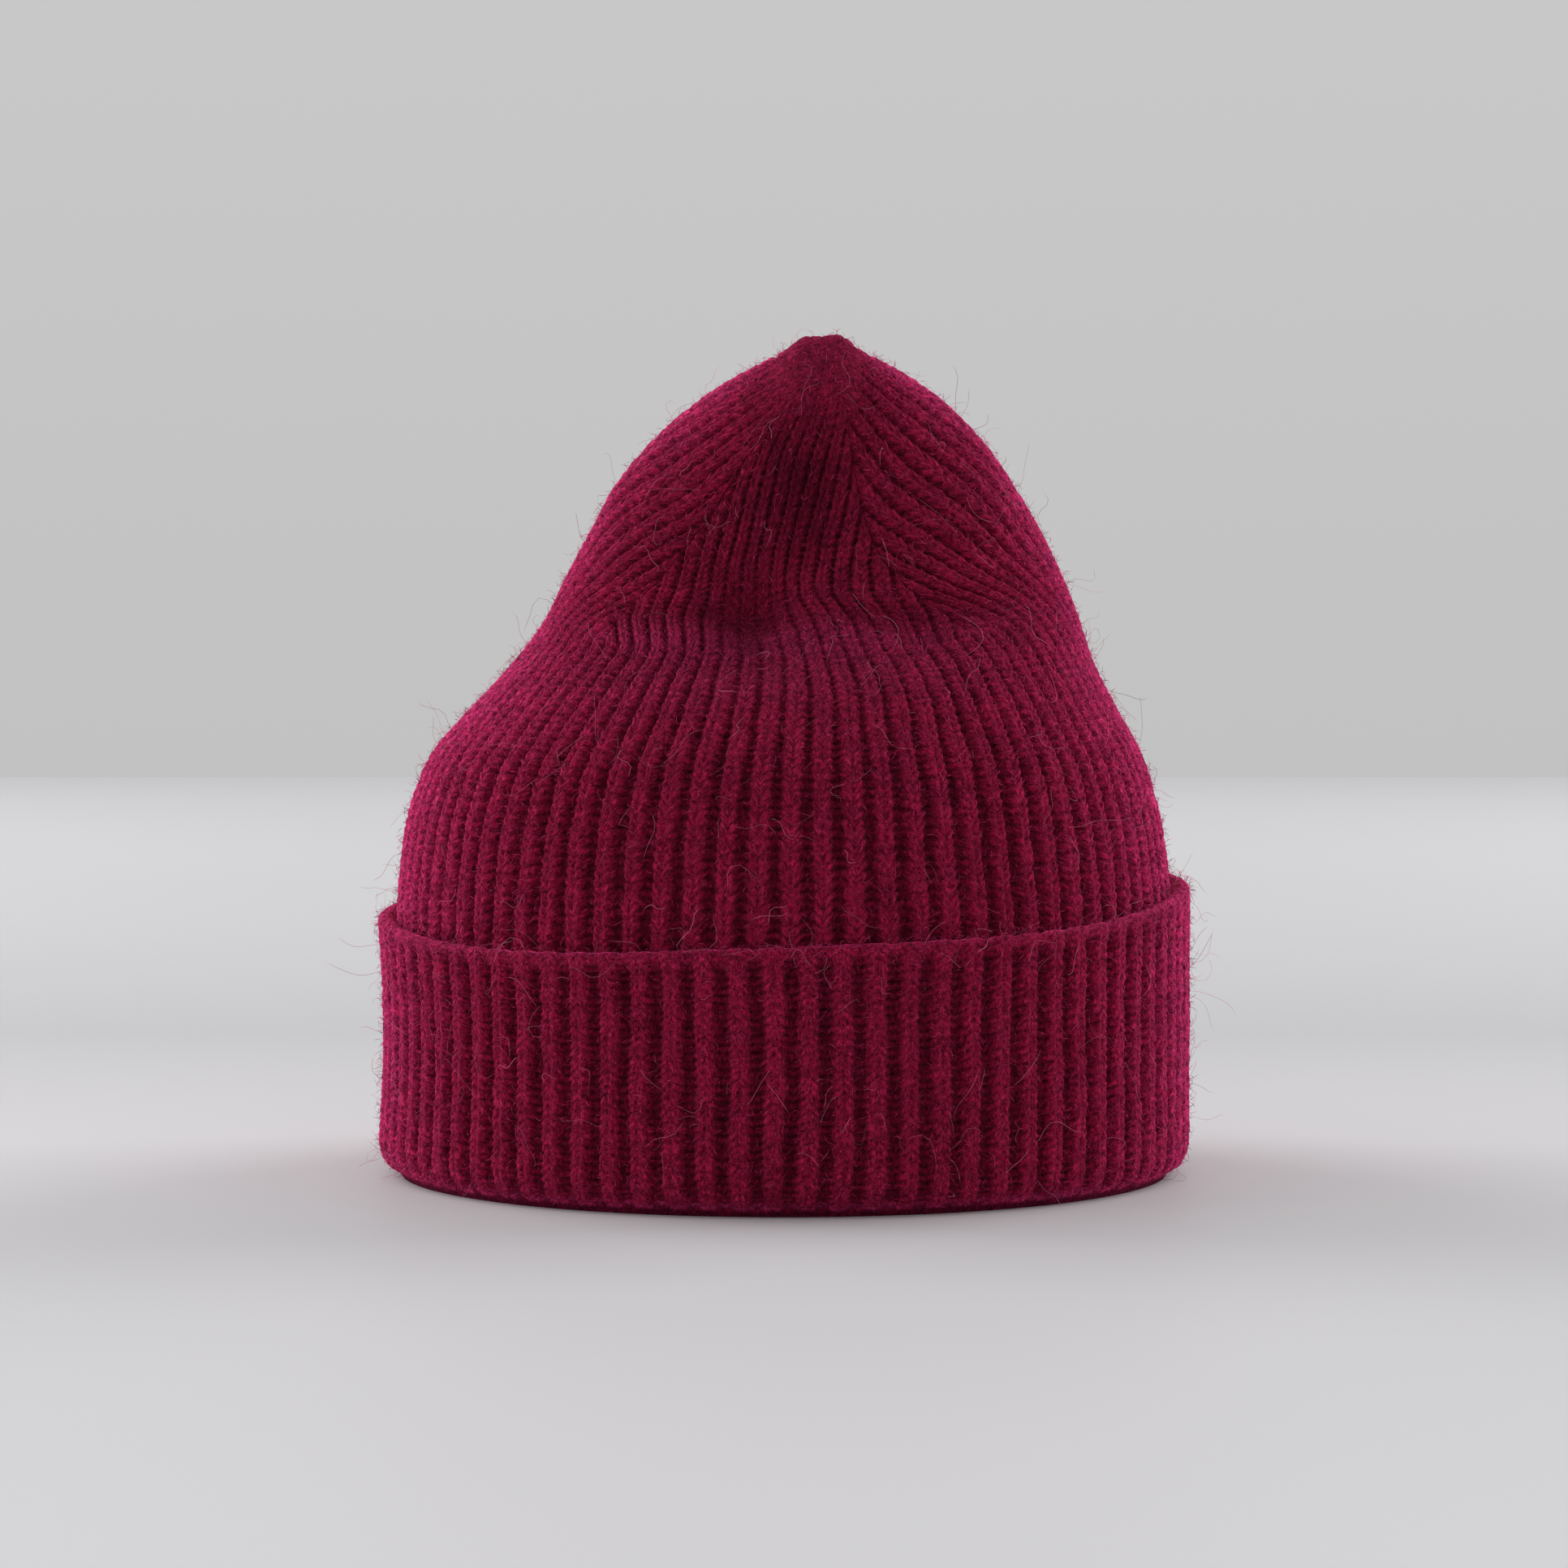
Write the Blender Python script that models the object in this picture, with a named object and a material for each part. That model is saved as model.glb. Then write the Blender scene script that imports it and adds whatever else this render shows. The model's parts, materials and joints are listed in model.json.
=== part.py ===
"""Ribbed wool beanie with a turned-up cuff, standing on its fold.

The hat is a knitted tube that four panels close at the tip. It is built as two solids: the crown,
whose wall runs down inside the hat to the fold, and the cuff, which holds the fold and the band
that is turned up outside. Metres, +Z up, the front faces -Y, and the origin is at the bottom centre.
"""

import math

import bpy
import numpy as np

# Outer sizes of the whole hat
HAT_WIDTH = 0.1752
HAT_DEPTH = 0.1926
HAT_HEIGHT = 0.1797

# Knitted walls, from the inner face to the crests of the ribs, and the gaps between the pieces
CROWN_WALL = 0.0032
CUFF_WALL = 0.0040
LAYER_GAP = 0.0006
SEAT_GAP = 0.0003

# Ribs: one panel is a quarter of the hat, and a crest stands RIB_DEPTH above a furrow
PANELS = 4
RIBS_IN_PANEL = 20
TIP_RIBS = 2
RIB_DEPTH = 0.0012

# Turn of all the ribs around the hat, in degrees
RIB_TURN = -1.4

# Hollow down the front of the peak
VALLEY_DEPTH = 0.0060

# Cuff: mean height of its rim above the ground, how far the rim rises and falls, and its waist
CUFF_HEIGHT = 0.0588
RIM_RISE_RIGHT = 0.0032
RIM_RISE_BACK = 0.0036
RIM_WAVE = 0.0006
CUFF_WAIST = 0.0010

# Fold that the hat stands on: height of the crown's seat in it, and its outer and inner round
FOLD_HEIGHT = 0.0080
FOLD_ROUND = 0.0036
INNER_ROUND = 0.0020
INNER_ROUND_HEIGHT = 0.0030

# Finish
WOOL_COLOUR = (0.100, 0.0022, 0.0150, 1.0)
WOOL_ROUGHNESS = 0.95

# Rings of the crown from the fold to the tip. Each ring is an ellipse.
#   along    place on the cloth, from the fold at 0 to the tip at 1
#   height   of its middle, as a share of the way from the seat up to HAT_HEIGHT
#   right    of its middle, as a share of HAT_WIDTH
#   back     of its middle, as a share of HAT_DEPTH
#   width    share of the crown's half width in the cuff
#   depth    share of the crown's half depth in the cuff
#   forward  how far its front tips down, in degrees
#   left     how far its left side tips down, in degrees
#   twist    further turn of the ribs around the hat, in degrees
#   gather   how far the front and back panels draw together, in degrees
#   valley   share of VALLEY_DEPTH
CROWN_COLUMNS = ("along", "height", "right", "back", "width", "depth",
                 "forward", "left", "twist", "gather", "valley")
CROWN_RINGS = np.array((
    (0.000, 0.000, 0.000, 0.000, 1.000, 1.000, 0.0, 0.0, 0.0, 0.0, 0.00),
    (0.120, 0.130, 0.000, 0.000, 1.000, 1.000, 0.0, 0.0, 0.0, 0.0, 0.00),
    (0.300, 0.338, 0.000, 0.000, 0.999, 1.000, 0.0, 0.0, 0.0, 0.0, 0.00),
    (0.368, 0.417, 0.000, 0.000, 0.971, 0.973, 0.0, 0.0, 0.0, 0.0, 0.00),
    (0.424, 0.479, 0.003, 0.001, 0.924, 0.930, 0.0, 0.0, -0.1, 0.0, 0.00),
    (0.480, 0.529, 0.008, 0.004, 0.854, 0.865, 0.5, 0.5, -0.4, 0.0, 0.00),
    (0.541, 0.589, 0.019, 0.008, 0.765, 0.770, 2.0, 1.0, -1.6, 0.0, 0.10),
    (0.602, 0.651, 0.030, 0.016, 0.695, 0.648, 6.8, 2.0, -4.0, 0.5, 0.35),
    (0.663, 0.704, 0.030, 0.017, 0.643, 0.522, 15.1, 3.0, -6.0, 2.5, 0.80),
    (0.719, 0.762, 0.028, -0.004, 0.574, 0.447, 23.5, 4.0, -8.0, 7.5, 1.00),
    (0.770, 0.820, 0.021, -0.032, 0.494, 0.386, 30.0, 6.0, -7.6, 9.5, 0.90),
    (0.832, 0.877, 0.020, -0.058, 0.355, 0.300, 39.0, 8.0, -6.1, 9.5, 0.80),
    (0.884, 0.924, 0.028, -0.080, 0.223, 0.200, 43.0, 9.0, -5.6, 6.0, 0.60),
    (0.939, 0.956, 0.042, -0.089, 0.106, 0.104, 47.0, 8.0, -3.6, 3.0, 0.30),
    (1.000, 0.969, 0.050, -0.094, 0.000, 0.000, 47.0, 8.0, -3.6, 0.0, 0.00),
))

# Places on the cloth, as shares of its way from the fold to the tip: where the decreases begin,
# where the ribs start to flatten, and where the inner wall closes
DART_SHARE = 0.62
FADE_SHARE = 0.90
INNER_TOP_SHARE = 0.955

# Places on the cloth of the mesh rings
OUTER_STEPS = (0.0, 0.16, 0.29, 0.368, 0.424, 0.480, 0.520, 0.556, 0.590, 0.622, 0.652, 0.682,
               0.712, 0.742, 0.772, 0.802, 0.832, 0.860, 0.886, 0.912, 0.938, 0.962, 0.984)
INNER_STEPS = (0.0, 0.20, 0.35, 0.424, 0.480, 0.541, 0.590, 0.630, 0.663, 0.692, 0.719,
               0.745, 0.770, 0.801, 0.832, 0.860, 0.886, 0.912, 0.938)
INNER_COLUMNS = 5

# Steps of the cuff's outer face between the fold and the rim, and round the fold
CUFF_STEPS = (0.0, 0.3, 0.55, 0.78, 0.94)
FOLD_STEPS = 4

SEAT = FOLD_HEIGHT+SEAT_GAP
FOLD_WIDTH = CUFF_WALL+LAYER_GAP+CROWN_WALL
CROWN_HALF_WIDTH = HAT_WIDTH/2-CUFF_WALL-LAYER_GAP
CROWN_HALF_DEPTH = HAT_DEPTH/2-CUFF_WALL-LAYER_GAP
HALF_RIBS = RIBS_IN_PANEL/2
DART_ANGLE = math.pi/PANELS


def clear_scene():
    """Removes every object of the startup scene."""
    for item in list(bpy.data.objects):
        bpy.data.objects.remove(item, do_unlink=True)


def smooth_step(value):
    """0 below 0, 1 above 1, and an even S between."""
    value = np.clip(value, 0.0, 1.0)
    return value*value*(3.0-2.0*value)


def read_rings(along):
    """Reads every column of CROWN_RINGS at the given places, on cubic curves through the rows.

    The slope at a row is that of the line through its two neighbours.
    """
    place = CROWN_RINGS[:, 0]
    slope = np.gradient(CROWN_RINGS, place, axis=0)
    row = np.clip(np.searchsorted(place, along, side="right")-1, 0, len(place)-2)
    step = place[row+1]-place[row]
    t = ((along-place[row])/step)[..., None]
    step = step[..., None]
    values = (CROWN_RINGS[row]*(1+2*t)*(1-t)**2+slope[row]*step*t*(1-t)**2
              + CROWN_RINGS[row+1]*t*t*(3-2*t)+slope[row+1]*step*t*t*(t-1))
    return {name: values[..., i] for i, name in enumerate(CROWN_COLUMNS)}


def ribs_left(along):
    """Half the number of ribs that a panel still has at this place on the cloth."""
    left = (1.0-along)/(1.0-DART_SHARE)
    return TIP_RIBS/2+(HALF_RIBS-TIP_RIBS/2)*np.minimum(left, 1.0)


def ellipse_angle(panel, share, half_width, half_depth, gather, twist):
    """Angle on a ring of the rib at share of a panel.

    A panel spans share -1 to 1 between its two darts. Its own angle is evened so that ribs lie
    the same distance apart on an ellipse, and then gathered towards the front and back.
    """
    flat = DART_ANGLE*(2*panel+share)
    even = (half_depth-half_width)/(half_depth+half_width+1e-9)/2
    return flat+(even-np.radians(gather))*np.sin(2*flat)+np.radians(RIB_TURN+twist)


def crown_surface(panel, share, along):
    """Smooth outer face of the crown, through the crests of the ribs.

    A point lies on the ellipse of its ring, which is tilted forward and to the left. The front
    panel is pushed in by the valley, most at its middle line.
    """
    ring = read_rings(along)
    half_width = CROWN_HALF_WIDTH*ring["width"]
    half_depth = CROWN_HALF_DEPTH*ring["depth"]
    angle = ellipse_angle(panel, share, half_width, half_depth, ring["gather"], ring["twist"])
    hollow = np.where(panel == 0, np.cos(share*math.pi/2)**2, 0.0)
    across = half_width*np.sin(angle)
    ahead = half_depth*np.cos(angle)-VALLEY_DEPTH*ring["valley"]*hollow
    forward = np.radians(ring["forward"])
    left = np.radians(ring["left"])
    x = HAT_WIDTH*ring["right"]+across*np.cos(left)
    y = HAT_DEPTH*ring["back"]-ahead*np.cos(forward)
    z = SEAT+(HAT_HEIGHT-SEAT)*ring["height"]-ahead*np.sin(forward)+across*np.sin(left)
    return np.stack((x, y, z), axis=-1)


def crown_normal(panel, share, along):
    """Outward normal of the crown's face, from two short steps on it."""
    turn, climb = 0.02, 0.002
    low = np.clip(along-climb, 0.0, 1.0-3*climb)
    high = low+2*climb
    around = crown_surface(panel, share+turn, along)-crown_surface(panel, share-turn, along)
    upward = crown_surface(panel, share, high)-crown_surface(panel, share, low)
    normal = np.cross(around, upward)
    return normal/np.linalg.norm(normal, axis=-1, keepdims=True)


def rim_height(angle):
    """Height of the cuff's rim: it rises to the right and the back, with a small wave between."""
    return (CUFF_HEIGHT+RIM_RISE_RIGHT*np.sin(angle)-RIM_RISE_BACK*np.cos(angle)
            + RIM_WAVE*np.cos(4*angle))


def lay_ring(face, places, depths):
    """Points of one closed ring, the strips of its half panels, and which points are furrows.

    places are rib places from a panel's middle line to its dart, and depths their furrow depths.
    face gives the points of a panel for shares of it and depths. A strip holds places and point
    numbers from the middle line to the dart, and a dart's point serves both panels.
    """
    count = len(places)-1
    share = np.concatenate((-places[:0:-1], places[:-1]))/places[-1]
    inward = np.concatenate((depths[:0:-1], depths[:-1]))
    points = np.concatenate([face(panel, share, inward) for panel in range(PANELS)])
    strips = []
    for panel in range(PANELS):
        middle = 2*count*panel+count
        strips.append((places, [middle-i for i in range(count+1)]))
        strips.append((places, [(middle+i) % len(points) for i in range(count+1)]))
    return points, strips, np.tile(inward > depths.max()/2, PANELS)


def stitch(low, high, turned):
    """Faces between two strips, from their first to their last point.

    The strip whose next place is nearer goes first, and equal places go together as one quad.
    """
    faces = []
    i, j = 0, 0
    low_places, low_ids = low
    high_places, high_ids = high
    while i < len(low_ids)-1 or j < len(high_ids)-1:
        next_low = low_places[i+1] if i < len(low_ids)-1 else math.inf
        next_high = high_places[j+1] if j < len(high_ids)-1 else math.inf
        if abs(next_low-next_high) < 1e-6:
            face = (low_ids[i], low_ids[i+1], high_ids[j+1], high_ids[j])
            i, j = i+1, j+1
        elif next_low < next_high:
            face = (low_ids[i], low_ids[i+1], high_ids[j])
            i += 1
        else:
            face = (low_ids[i], high_ids[j+1], high_ids[j])
            j += 1
        faces.append(face[::-1] if turned else face)
    return faces


class Shell:
    """Collects rings of points and the faces between them, and builds one closed solid."""

    def __init__(self):
        self.points = []
        self.furrows = []
        self.faces = []
        self.count = 0

    def ring(self, points, strips, furrows):
        """Adds a ring and returns its strips in the shell's point numbers."""
        moved = [(places, [i+self.count for i in ids]) for places, ids in strips]
        self.points.append(points)
        self.furrows.append(furrows)
        self.count += len(points)
        return moved

    def join(self, low, high):
        """Joins two rings, half panel by half panel."""
        for number, (below, above) in enumerate(zip(low, high)):
            self.faces += stitch(below, above, number % 2 == 0)

    def close(self, strips, tip, outward):
        """Closes a ring with a fan to one point."""
        self.points.append(np.array((tip,)))
        self.furrows.append(np.array((False,)))
        for number, (_, ids) in enumerate(strips):
            for a, b in zip(ids, ids[1:]):
                face = (a, b, self.count)
                self.faces.append(face if (number % 2 == 1) == outward else face[::-1])
        self.count += 1

    def build(self, name, material):
        """Makes the object. It is shaded smooth, with a crease along each furrow."""
        mesh = bpy.data.meshes.new(name)
        mesh.from_pydata(np.concatenate(self.points).tolist(), [], self.faces)
        mesh.materials.append(material)
        mesh.shade_smooth()
        furrow = np.concatenate(self.furrows)
        for edge in mesh.edges:
            first, second = edge.vertices
            edge.use_edge_sharp = bool(furrow[first] and furrow[second])
        item = bpy.data.objects.new(name, mesh)
        bpy.context.scene.collection.objects.link(item)
        return item


def rib_columns(along):
    """Rib places of one half panel with their depths: crests at the halves, furrows between.

    The last one is the dart, a furrow that takes in each rib that ends there.
    """
    end = float(ribs_left(np.float64(along)))
    places = np.arange(0.0, end-0.3, 0.5)
    depths = np.where(np.arange(len(places)) % 2 == 0, RIB_DEPTH, 0.0)
    fade = 1.0-smooth_step((along-FADE_SHARE)/(1.0-FADE_SHARE))
    return np.append(places, end), np.append(depths, RIB_DEPTH)*fade


def make_crown(material):
    """Ribbed dome with its wall, open below, from the seat in the fold up to the tip."""
    shell = Shell()

    def face_at(along):
        def face(panel, share, inward):
            level = np.full(share.shape, along)
            normal = crown_normal(panel, share, level)
            return crown_surface(panel, share, level)-normal*inward[:, None]
        return face

    outer = []
    for along in OUTER_STEPS:
        outer.append(shell.ring(*lay_ring(face_at(along), *rib_columns(along))))
    inner = []
    plain = np.linspace(0.0, HALF_RIBS, INNER_COLUMNS+1)
    for along in INNER_STEPS:
        points, strips, _ = lay_ring(face_at(along), plain, np.full(plain.shape, CROWN_WALL))
        inner.append(shell.ring(points, strips, np.zeros(len(points), bool)))
    for low, high in zip(outer, outer[1:]):
        shell.join(low, high)
    for low, high in zip(inner, inner[1:]):
        shell.join(high, low)
    shell.join(inner[0], outer[0])
    tip = crown_surface(0, np.float64(0.0), np.float64(1.0))
    shell.close(outer[-1], tip, True)
    front = crown_surface(0, np.float64(0.0), np.float64(INNER_TOP_SHARE))
    back = crown_surface(2, np.float64(0.0), np.float64(INNER_TOP_SHARE))
    ceiling = (front+back)/2-np.array((0.0, 0.0, CROWN_WALL))
    shell.close(inner[-1], ceiling, False)
    return shell.build("crown", material)


def make_cuff(material):
    """Turned-up band with the fold below it.

    Its section runs from the flat ring that the hat stands on round the fold and up the outer
    face to the rim, down behind the band to the crown's seat, and down the inner face.
    The ribs are half a rib out of step with the crown's, because the cloth is turned over.
    """
    shell = Shell()
    ribbed = np.arange(0.0, HALF_RIBS+0.1, 0.5)
    furrows = np.where(np.arange(len(ribbed)) % 2 == 0, 0.0, RIB_DEPTH)
    plain = np.arange(0.0, HALF_RIBS+0.1, 1.0)
    fold_round = min(FOLD_ROUND, FOLD_WIDTH/2)
    inner_round = min(INNER_ROUND, FOLD_WIDTH/3)
    inner_round_height = min(INNER_ROUND_HEIGHT, FOLD_HEIGHT/2)
    rings = []

    def add(inward, height, relief):
        """Adds a ring. inward and height are functions of the angle around the hat."""
        places = ribbed if relief else plain
        depths = furrows*relief if relief else np.zeros(len(plain))

        def face(panel, share, furrow):
            angle = ellipse_angle(panel, share, HAT_WIDTH/2, HAT_DEPTH/2, 0.0, 0.0)
            back = inward(angle)+furrow
            return np.stack(((HAT_WIDTH/2-back)*np.sin(angle), (back-HAT_DEPTH/2)*np.cos(angle),
                             height(angle)), axis=-1)
        rings.append(shell.ring(*lay_ring(face, places, depths)))

    def level(value):
        return lambda angle: np.full(angle.shape, value)

    def rise(share):
        return lambda angle: FOLD_HEIGHT+(rim_height(angle)-FOLD_HEIGHT)*share

    def waist(share):
        bump = CUFF_WAIST*math.sin(math.pi*share)
        return lambda angle: bump*(1-np.sin(angle))/2

    # Flat ring and the fold's outer round
    add(level(FOLD_WIDTH-inner_round), level(0.0), 0.0)
    for step in range(FOLD_STEPS):
        turn = math.pi/2*(1-step/FOLD_STEPS)
        add(level(fold_round*(1-math.cos(turn))), level(FOLD_HEIGHT*(1-math.sin(turn))),
            0.4+0.6*step/FOLD_STEPS)

    # Band and its rounded rim
    for share in CUFF_STEPS:
        add(waist(share), rise(share), 1.0)
    add(level(CUFF_WALL*0.28), rise(1.0), 0.5)
    add(level(CUFF_WALL*0.72), rise(1.0), 0.0)

    # Back of the band, the seat and the inner face
    add(level(CUFF_WALL), rise(0.95), 0.0)
    add(level(CUFF_WALL), rise(0.5), 0.0)
    add(level(CUFF_WALL), level(FOLD_HEIGHT), 0.0)
    add(level(FOLD_WIDTH), level(FOLD_HEIGHT), 0.0)
    add(level(FOLD_WIDTH), level(inner_round_height), 0.0)
    add(level(FOLD_WIDTH-inner_round/3), level(inner_round_height/4), 0.0)
    for low, high in zip(rings, rings[1:]+rings[:1]):
        shell.join(low, high)
    return shell.build("cuff", material)


def make_wool():
    """Dark raspberry wool."""
    material = bpy.data.materials.new("raspberry_wool")
    material.use_nodes = True
    shader = material.node_tree.nodes["Principled BSDF"]
    shader.inputs["Base Color"].default_value = WOOL_COLOUR
    shader.inputs["Roughness"].default_value = WOOL_ROUGHNESS
    shader.inputs["Metallic"].default_value = 0.0
    return material


def main():
    clear_scene()
    wool = make_wool()
    make_crown(wool)
    make_cuff(wool)


main()
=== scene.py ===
"""Ribbed wool beanie with a turned-up cuff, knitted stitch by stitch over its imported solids.

The crown is four knitted panels and the cuff two half bands. Each is a closed shell of the form
that the solids have, with the ribs and stitches worked out as a depth below the crests. Fuzz and
stray hairs lie on them as joined meshes. Metres, +Z up, the front faces -Y.
"""

import json
import math

import bpy
import numpy as np
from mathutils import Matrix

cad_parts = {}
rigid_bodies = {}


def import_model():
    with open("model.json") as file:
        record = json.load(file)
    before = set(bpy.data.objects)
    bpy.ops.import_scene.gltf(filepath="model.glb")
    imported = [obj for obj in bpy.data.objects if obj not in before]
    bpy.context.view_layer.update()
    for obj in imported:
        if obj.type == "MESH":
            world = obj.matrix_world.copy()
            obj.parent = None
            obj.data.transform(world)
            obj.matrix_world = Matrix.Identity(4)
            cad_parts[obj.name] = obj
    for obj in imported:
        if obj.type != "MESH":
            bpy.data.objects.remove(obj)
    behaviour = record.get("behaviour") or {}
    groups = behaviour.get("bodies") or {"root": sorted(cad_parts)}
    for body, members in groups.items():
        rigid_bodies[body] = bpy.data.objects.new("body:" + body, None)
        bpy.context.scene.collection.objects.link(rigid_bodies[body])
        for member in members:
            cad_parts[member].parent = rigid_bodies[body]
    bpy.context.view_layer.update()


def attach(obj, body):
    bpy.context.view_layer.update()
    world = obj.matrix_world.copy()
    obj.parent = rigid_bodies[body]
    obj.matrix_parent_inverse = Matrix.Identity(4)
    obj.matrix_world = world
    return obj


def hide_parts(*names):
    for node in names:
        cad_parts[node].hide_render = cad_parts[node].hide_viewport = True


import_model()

bl_info = {
    "name": "Ribbed Wool Beanie",
    "version": (1, 0, 0),
    "blender": (4, 5, 0),
    "location": "View3D > Sidebar > Beanie",
    "description": "Knits a ribbed beanie with a turned-up cuff and sets it on a studio table",
    "category": "Add Mesh",
}

# Ribs: one panel is a quarter of the hat
PANELS = 4
PANEL_RIBS = 20
HALF_RIBS = PANEL_RIBS/2
TIP_RIBS = 2
DART_ANGLE = math.pi/PANELS

# Share of the way from the fold to the tip where the lines of decreases begin
DART_SHARE = 0.62

# Rings of the crown from the fold to the tip, as in the part's source. Each ring is an ellipse.
RING_COLUMNS = ("along", "height", "right", "back", "width", "depth",
                "forward", "left", "twist", "gather", "valley")
RINGS = np.array((
    (0.000, 0.000, 0.000, 0.000, 1.000, 1.000, 0.0, 0.0, 0.0, 0.0, 0.00),
    (0.120, 0.130, 0.000, 0.000, 1.000, 1.000, 0.0, 0.0, 0.0, 0.0, 0.00),
    (0.300, 0.338, 0.000, 0.000, 0.999, 1.000, 0.0, 0.0, 0.0, 0.0, 0.00),
    (0.368, 0.417, 0.000, 0.000, 0.971, 0.973, 0.0, 0.0, 0.0, 0.0, 0.00),
    (0.424, 0.479, 0.003, 0.001, 0.924, 0.930, 0.0, 0.0, -0.1, 0.0, 0.00),
    (0.480, 0.529, 0.008, 0.004, 0.854, 0.865, 0.5, 0.5, -0.4, 0.0, 0.00),
    (0.541, 0.589, 0.019, 0.008, 0.765, 0.770, 2.0, 1.0, -1.6, 0.0, 0.10),
    (0.602, 0.651, 0.030, 0.016, 0.695, 0.648, 6.8, 2.0, -4.0, 0.5, 0.35),
    (0.663, 0.704, 0.030, 0.017, 0.643, 0.522, 15.1, 3.0, -6.0, 2.5, 0.80),
    (0.719, 0.762, 0.028, -0.004, 0.574, 0.447, 23.5, 4.0, -8.0, 7.5, 1.00),
    (0.770, 0.820, 0.021, -0.032, 0.494, 0.386, 30.0, 6.0, -7.6, 9.5, 0.90),
    (0.832, 0.877, 0.020, -0.058, 0.355, 0.300, 39.0, 8.0, -6.1, 9.5, 0.80),
    (0.884, 0.924, 0.028, -0.080, 0.223, 0.200, 43.0, 9.0, -5.6, 6.0, 0.60),
    (0.939, 0.956, 0.042, -0.089, 0.106, 0.104, 47.0, 8.0, -3.6, 3.0, 0.30),
    (1.000, 0.969, 0.050, -0.094, 0.000, 0.000, 47.0, 8.0, -3.6, 0.0, 0.00),
))

# Section of the fold: height of the crown's seat in it, and its outer and inner round
FOLD_HEIGHT = 0.0080
SEAT_GAP = 0.0003
FOLD_ROUND = 0.0036
INNER_ROUND = 0.0020
SEAT = FOLD_HEIGHT+SEAT_GAP

# The ribs end this far above the table, over the flat ring that lies this far in
UNDERCUT_HEIGHT = 0.0018
UNDERCUT_IN = 0.0050

# Rim of the cuff: how it rises to the right and the back, its wave, and the cuff's waist
RIM_RISE_RIGHT = 0.0032
RIM_RISE_BACK = 0.0036
RIM_WAVE = 0.0006
CUFF_WAIST = 0.0010

# Rows of stitches from the fold to the tip of the crown, and from the fold to the rim of the cuff
CROWN_COURSES = 94
CUFF_COURSES = 27

# Places across one rib, from its crest at 0 to the furrow at 0.5: middle and half width of the
# legs of a stitch, and where the rib's side begins and ends, on stretched and on slack knit
LEG_PLACE = 0.155
LEG_HALF = 0.150
OPEN_SIDE = (0.20, 0.38)
CLOSED_SIDE = (0.28, 0.465)

# Shares of the way to the tip between which the ribs close up, and their depth above that at the
# sides and the back, where the cloth is slack
CLOSE_START = 0.38
CLOSE_END = 0.53
SLACK_DEPTH = 0.80

# Soft dimples below the peak, where the ribs nearly vanish: right, up, half width, half height, share
DIMPLES = ((-0.0065, 0.1215, 0.0095, 0.0095, 0.85), (0.0340, 0.1160, 0.0190, 0.0080, 0.45))

# The top of the belly, where the ribs are only shallow, in the same terms
SHALLOWS = ((0.0060, 0.1110, 0.0400, 0.0110, 0.32),)

# In front, the cloth bridges the crease between the belly and the peak from one of these places to
# the other, as shares of the way to the tip, and hollows shallower than the last length stay
CREASE_ENDS = (0.590, 0.775)
CREASE_SOFTNESS = 0.0012

# The upper peak is slimmer than its rings by this much
PEAK_TRIM = 0.0009

# The two small bumps at the tip: how far right their middles are, their reach to the sides, their
# rise, and how far they lie and reach behind the tip
TIP_BUMPS = (0.0042, 0.0120)
TIP_REACH = 0.0037
TIP_RISE = 0.0019
TIP_BEHIND = 0.0070

# Rows of stitches that a leg climbs for one rib pitch across
STITCH_SLANT = 5.0

# How far the yarn's ends push the edges of a rib to and fro, as a share of its pitch
YARN_JAG = 0.055

# Share of the stitches' relief that shows on the stretched knit of the cuff
CUFF_STITCHING = 0.60

# Hollows of the front that get painted shade, the wool drawn darker where less light reaches, in the same
# terms as the dimples
HOLLOW_SHADES = ((0.0045, 0.1490, 0.0105, 0.0170, 0.95), (-0.0080, 0.1165, 0.0130, 0.0095, 0.78),
           (0.0250, 0.1180, 0.0220, 0.0050, 0.58), (-0.0020, 0.1135, 0.0350, 0.0085, 0.55))

# Painted light and shade on the table: its brightness at shares of the way from 0.6 m in front of the hat
# to 1.4 m behind it
TABLE_LIGHT_LEVELS = ((0.01, 1.08), (0.10, 1.00), (0.21, 0.90), (0.28, 0.94), (0.33, 0.90), (0.47, 0.68),
                (0.75, 0.74), (0.99, 0.85))

# Shares of a rib's pitch at which its columns lie, closer where the sides are steep
OUTER_CUTS = (0.0, 0.09, 0.17, 0.245, 0.33, 0.42, 0.50, 0.58, 0.67, 0.755, 0.83, 0.91)
INNER_CUTS = (0.0, 0.25, 0.5, 0.75)
CUFF_CUTS = (0.0, 0.08, 0.16, 0.23, 0.31, 0.40, 0.50, 0.60, 0.69, 0.77, 0.84, 0.92)

# A column nearer than this to a line of decreases, in ribs, ends on it
COLUMN_MARGIN = 0.02

# Rows of points as first, last and count, as shares of the way to the tip: behind the cuff, for each
# course above it, and on the inside with its last row and the place that its own tip hangs from
COVERED = (-0.006, 0.205, 7)
CROWN_FINENESS = 4
INNER_ROWS = ((-0.006, 0.30, 18), (0.30, 0.938, 44))
INNER_TOP = 0.95
INNER_TIP = 0.955

# The same on the cuff: its fold, each course of its band, its rim and its inner round
FOLD_STEPS = 17
CUFF_FINENESS = 3
RIM_STEPS = 10
INNER_STEPS = 8

# Courses that the fold takes up, the rim's round, and the turn up to which a row lies outside
FOLD_COURSES = 5.4
RIM_ROUND = 0.0018
OUTER_TURN = 1.6

# The ribs of the fold sway this share of a pitch, less and less up to this height
FOLD_SWAY = 0.10
FOLD_SWAY_HEIGHT = 0.016

# Smooth noise: its number of random values, a power of 2, and the primes that mix a cell's place
NOISE_VALUES = 4096
NOISE_PRIMES = (73856093, 19349663, 83492791)

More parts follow.
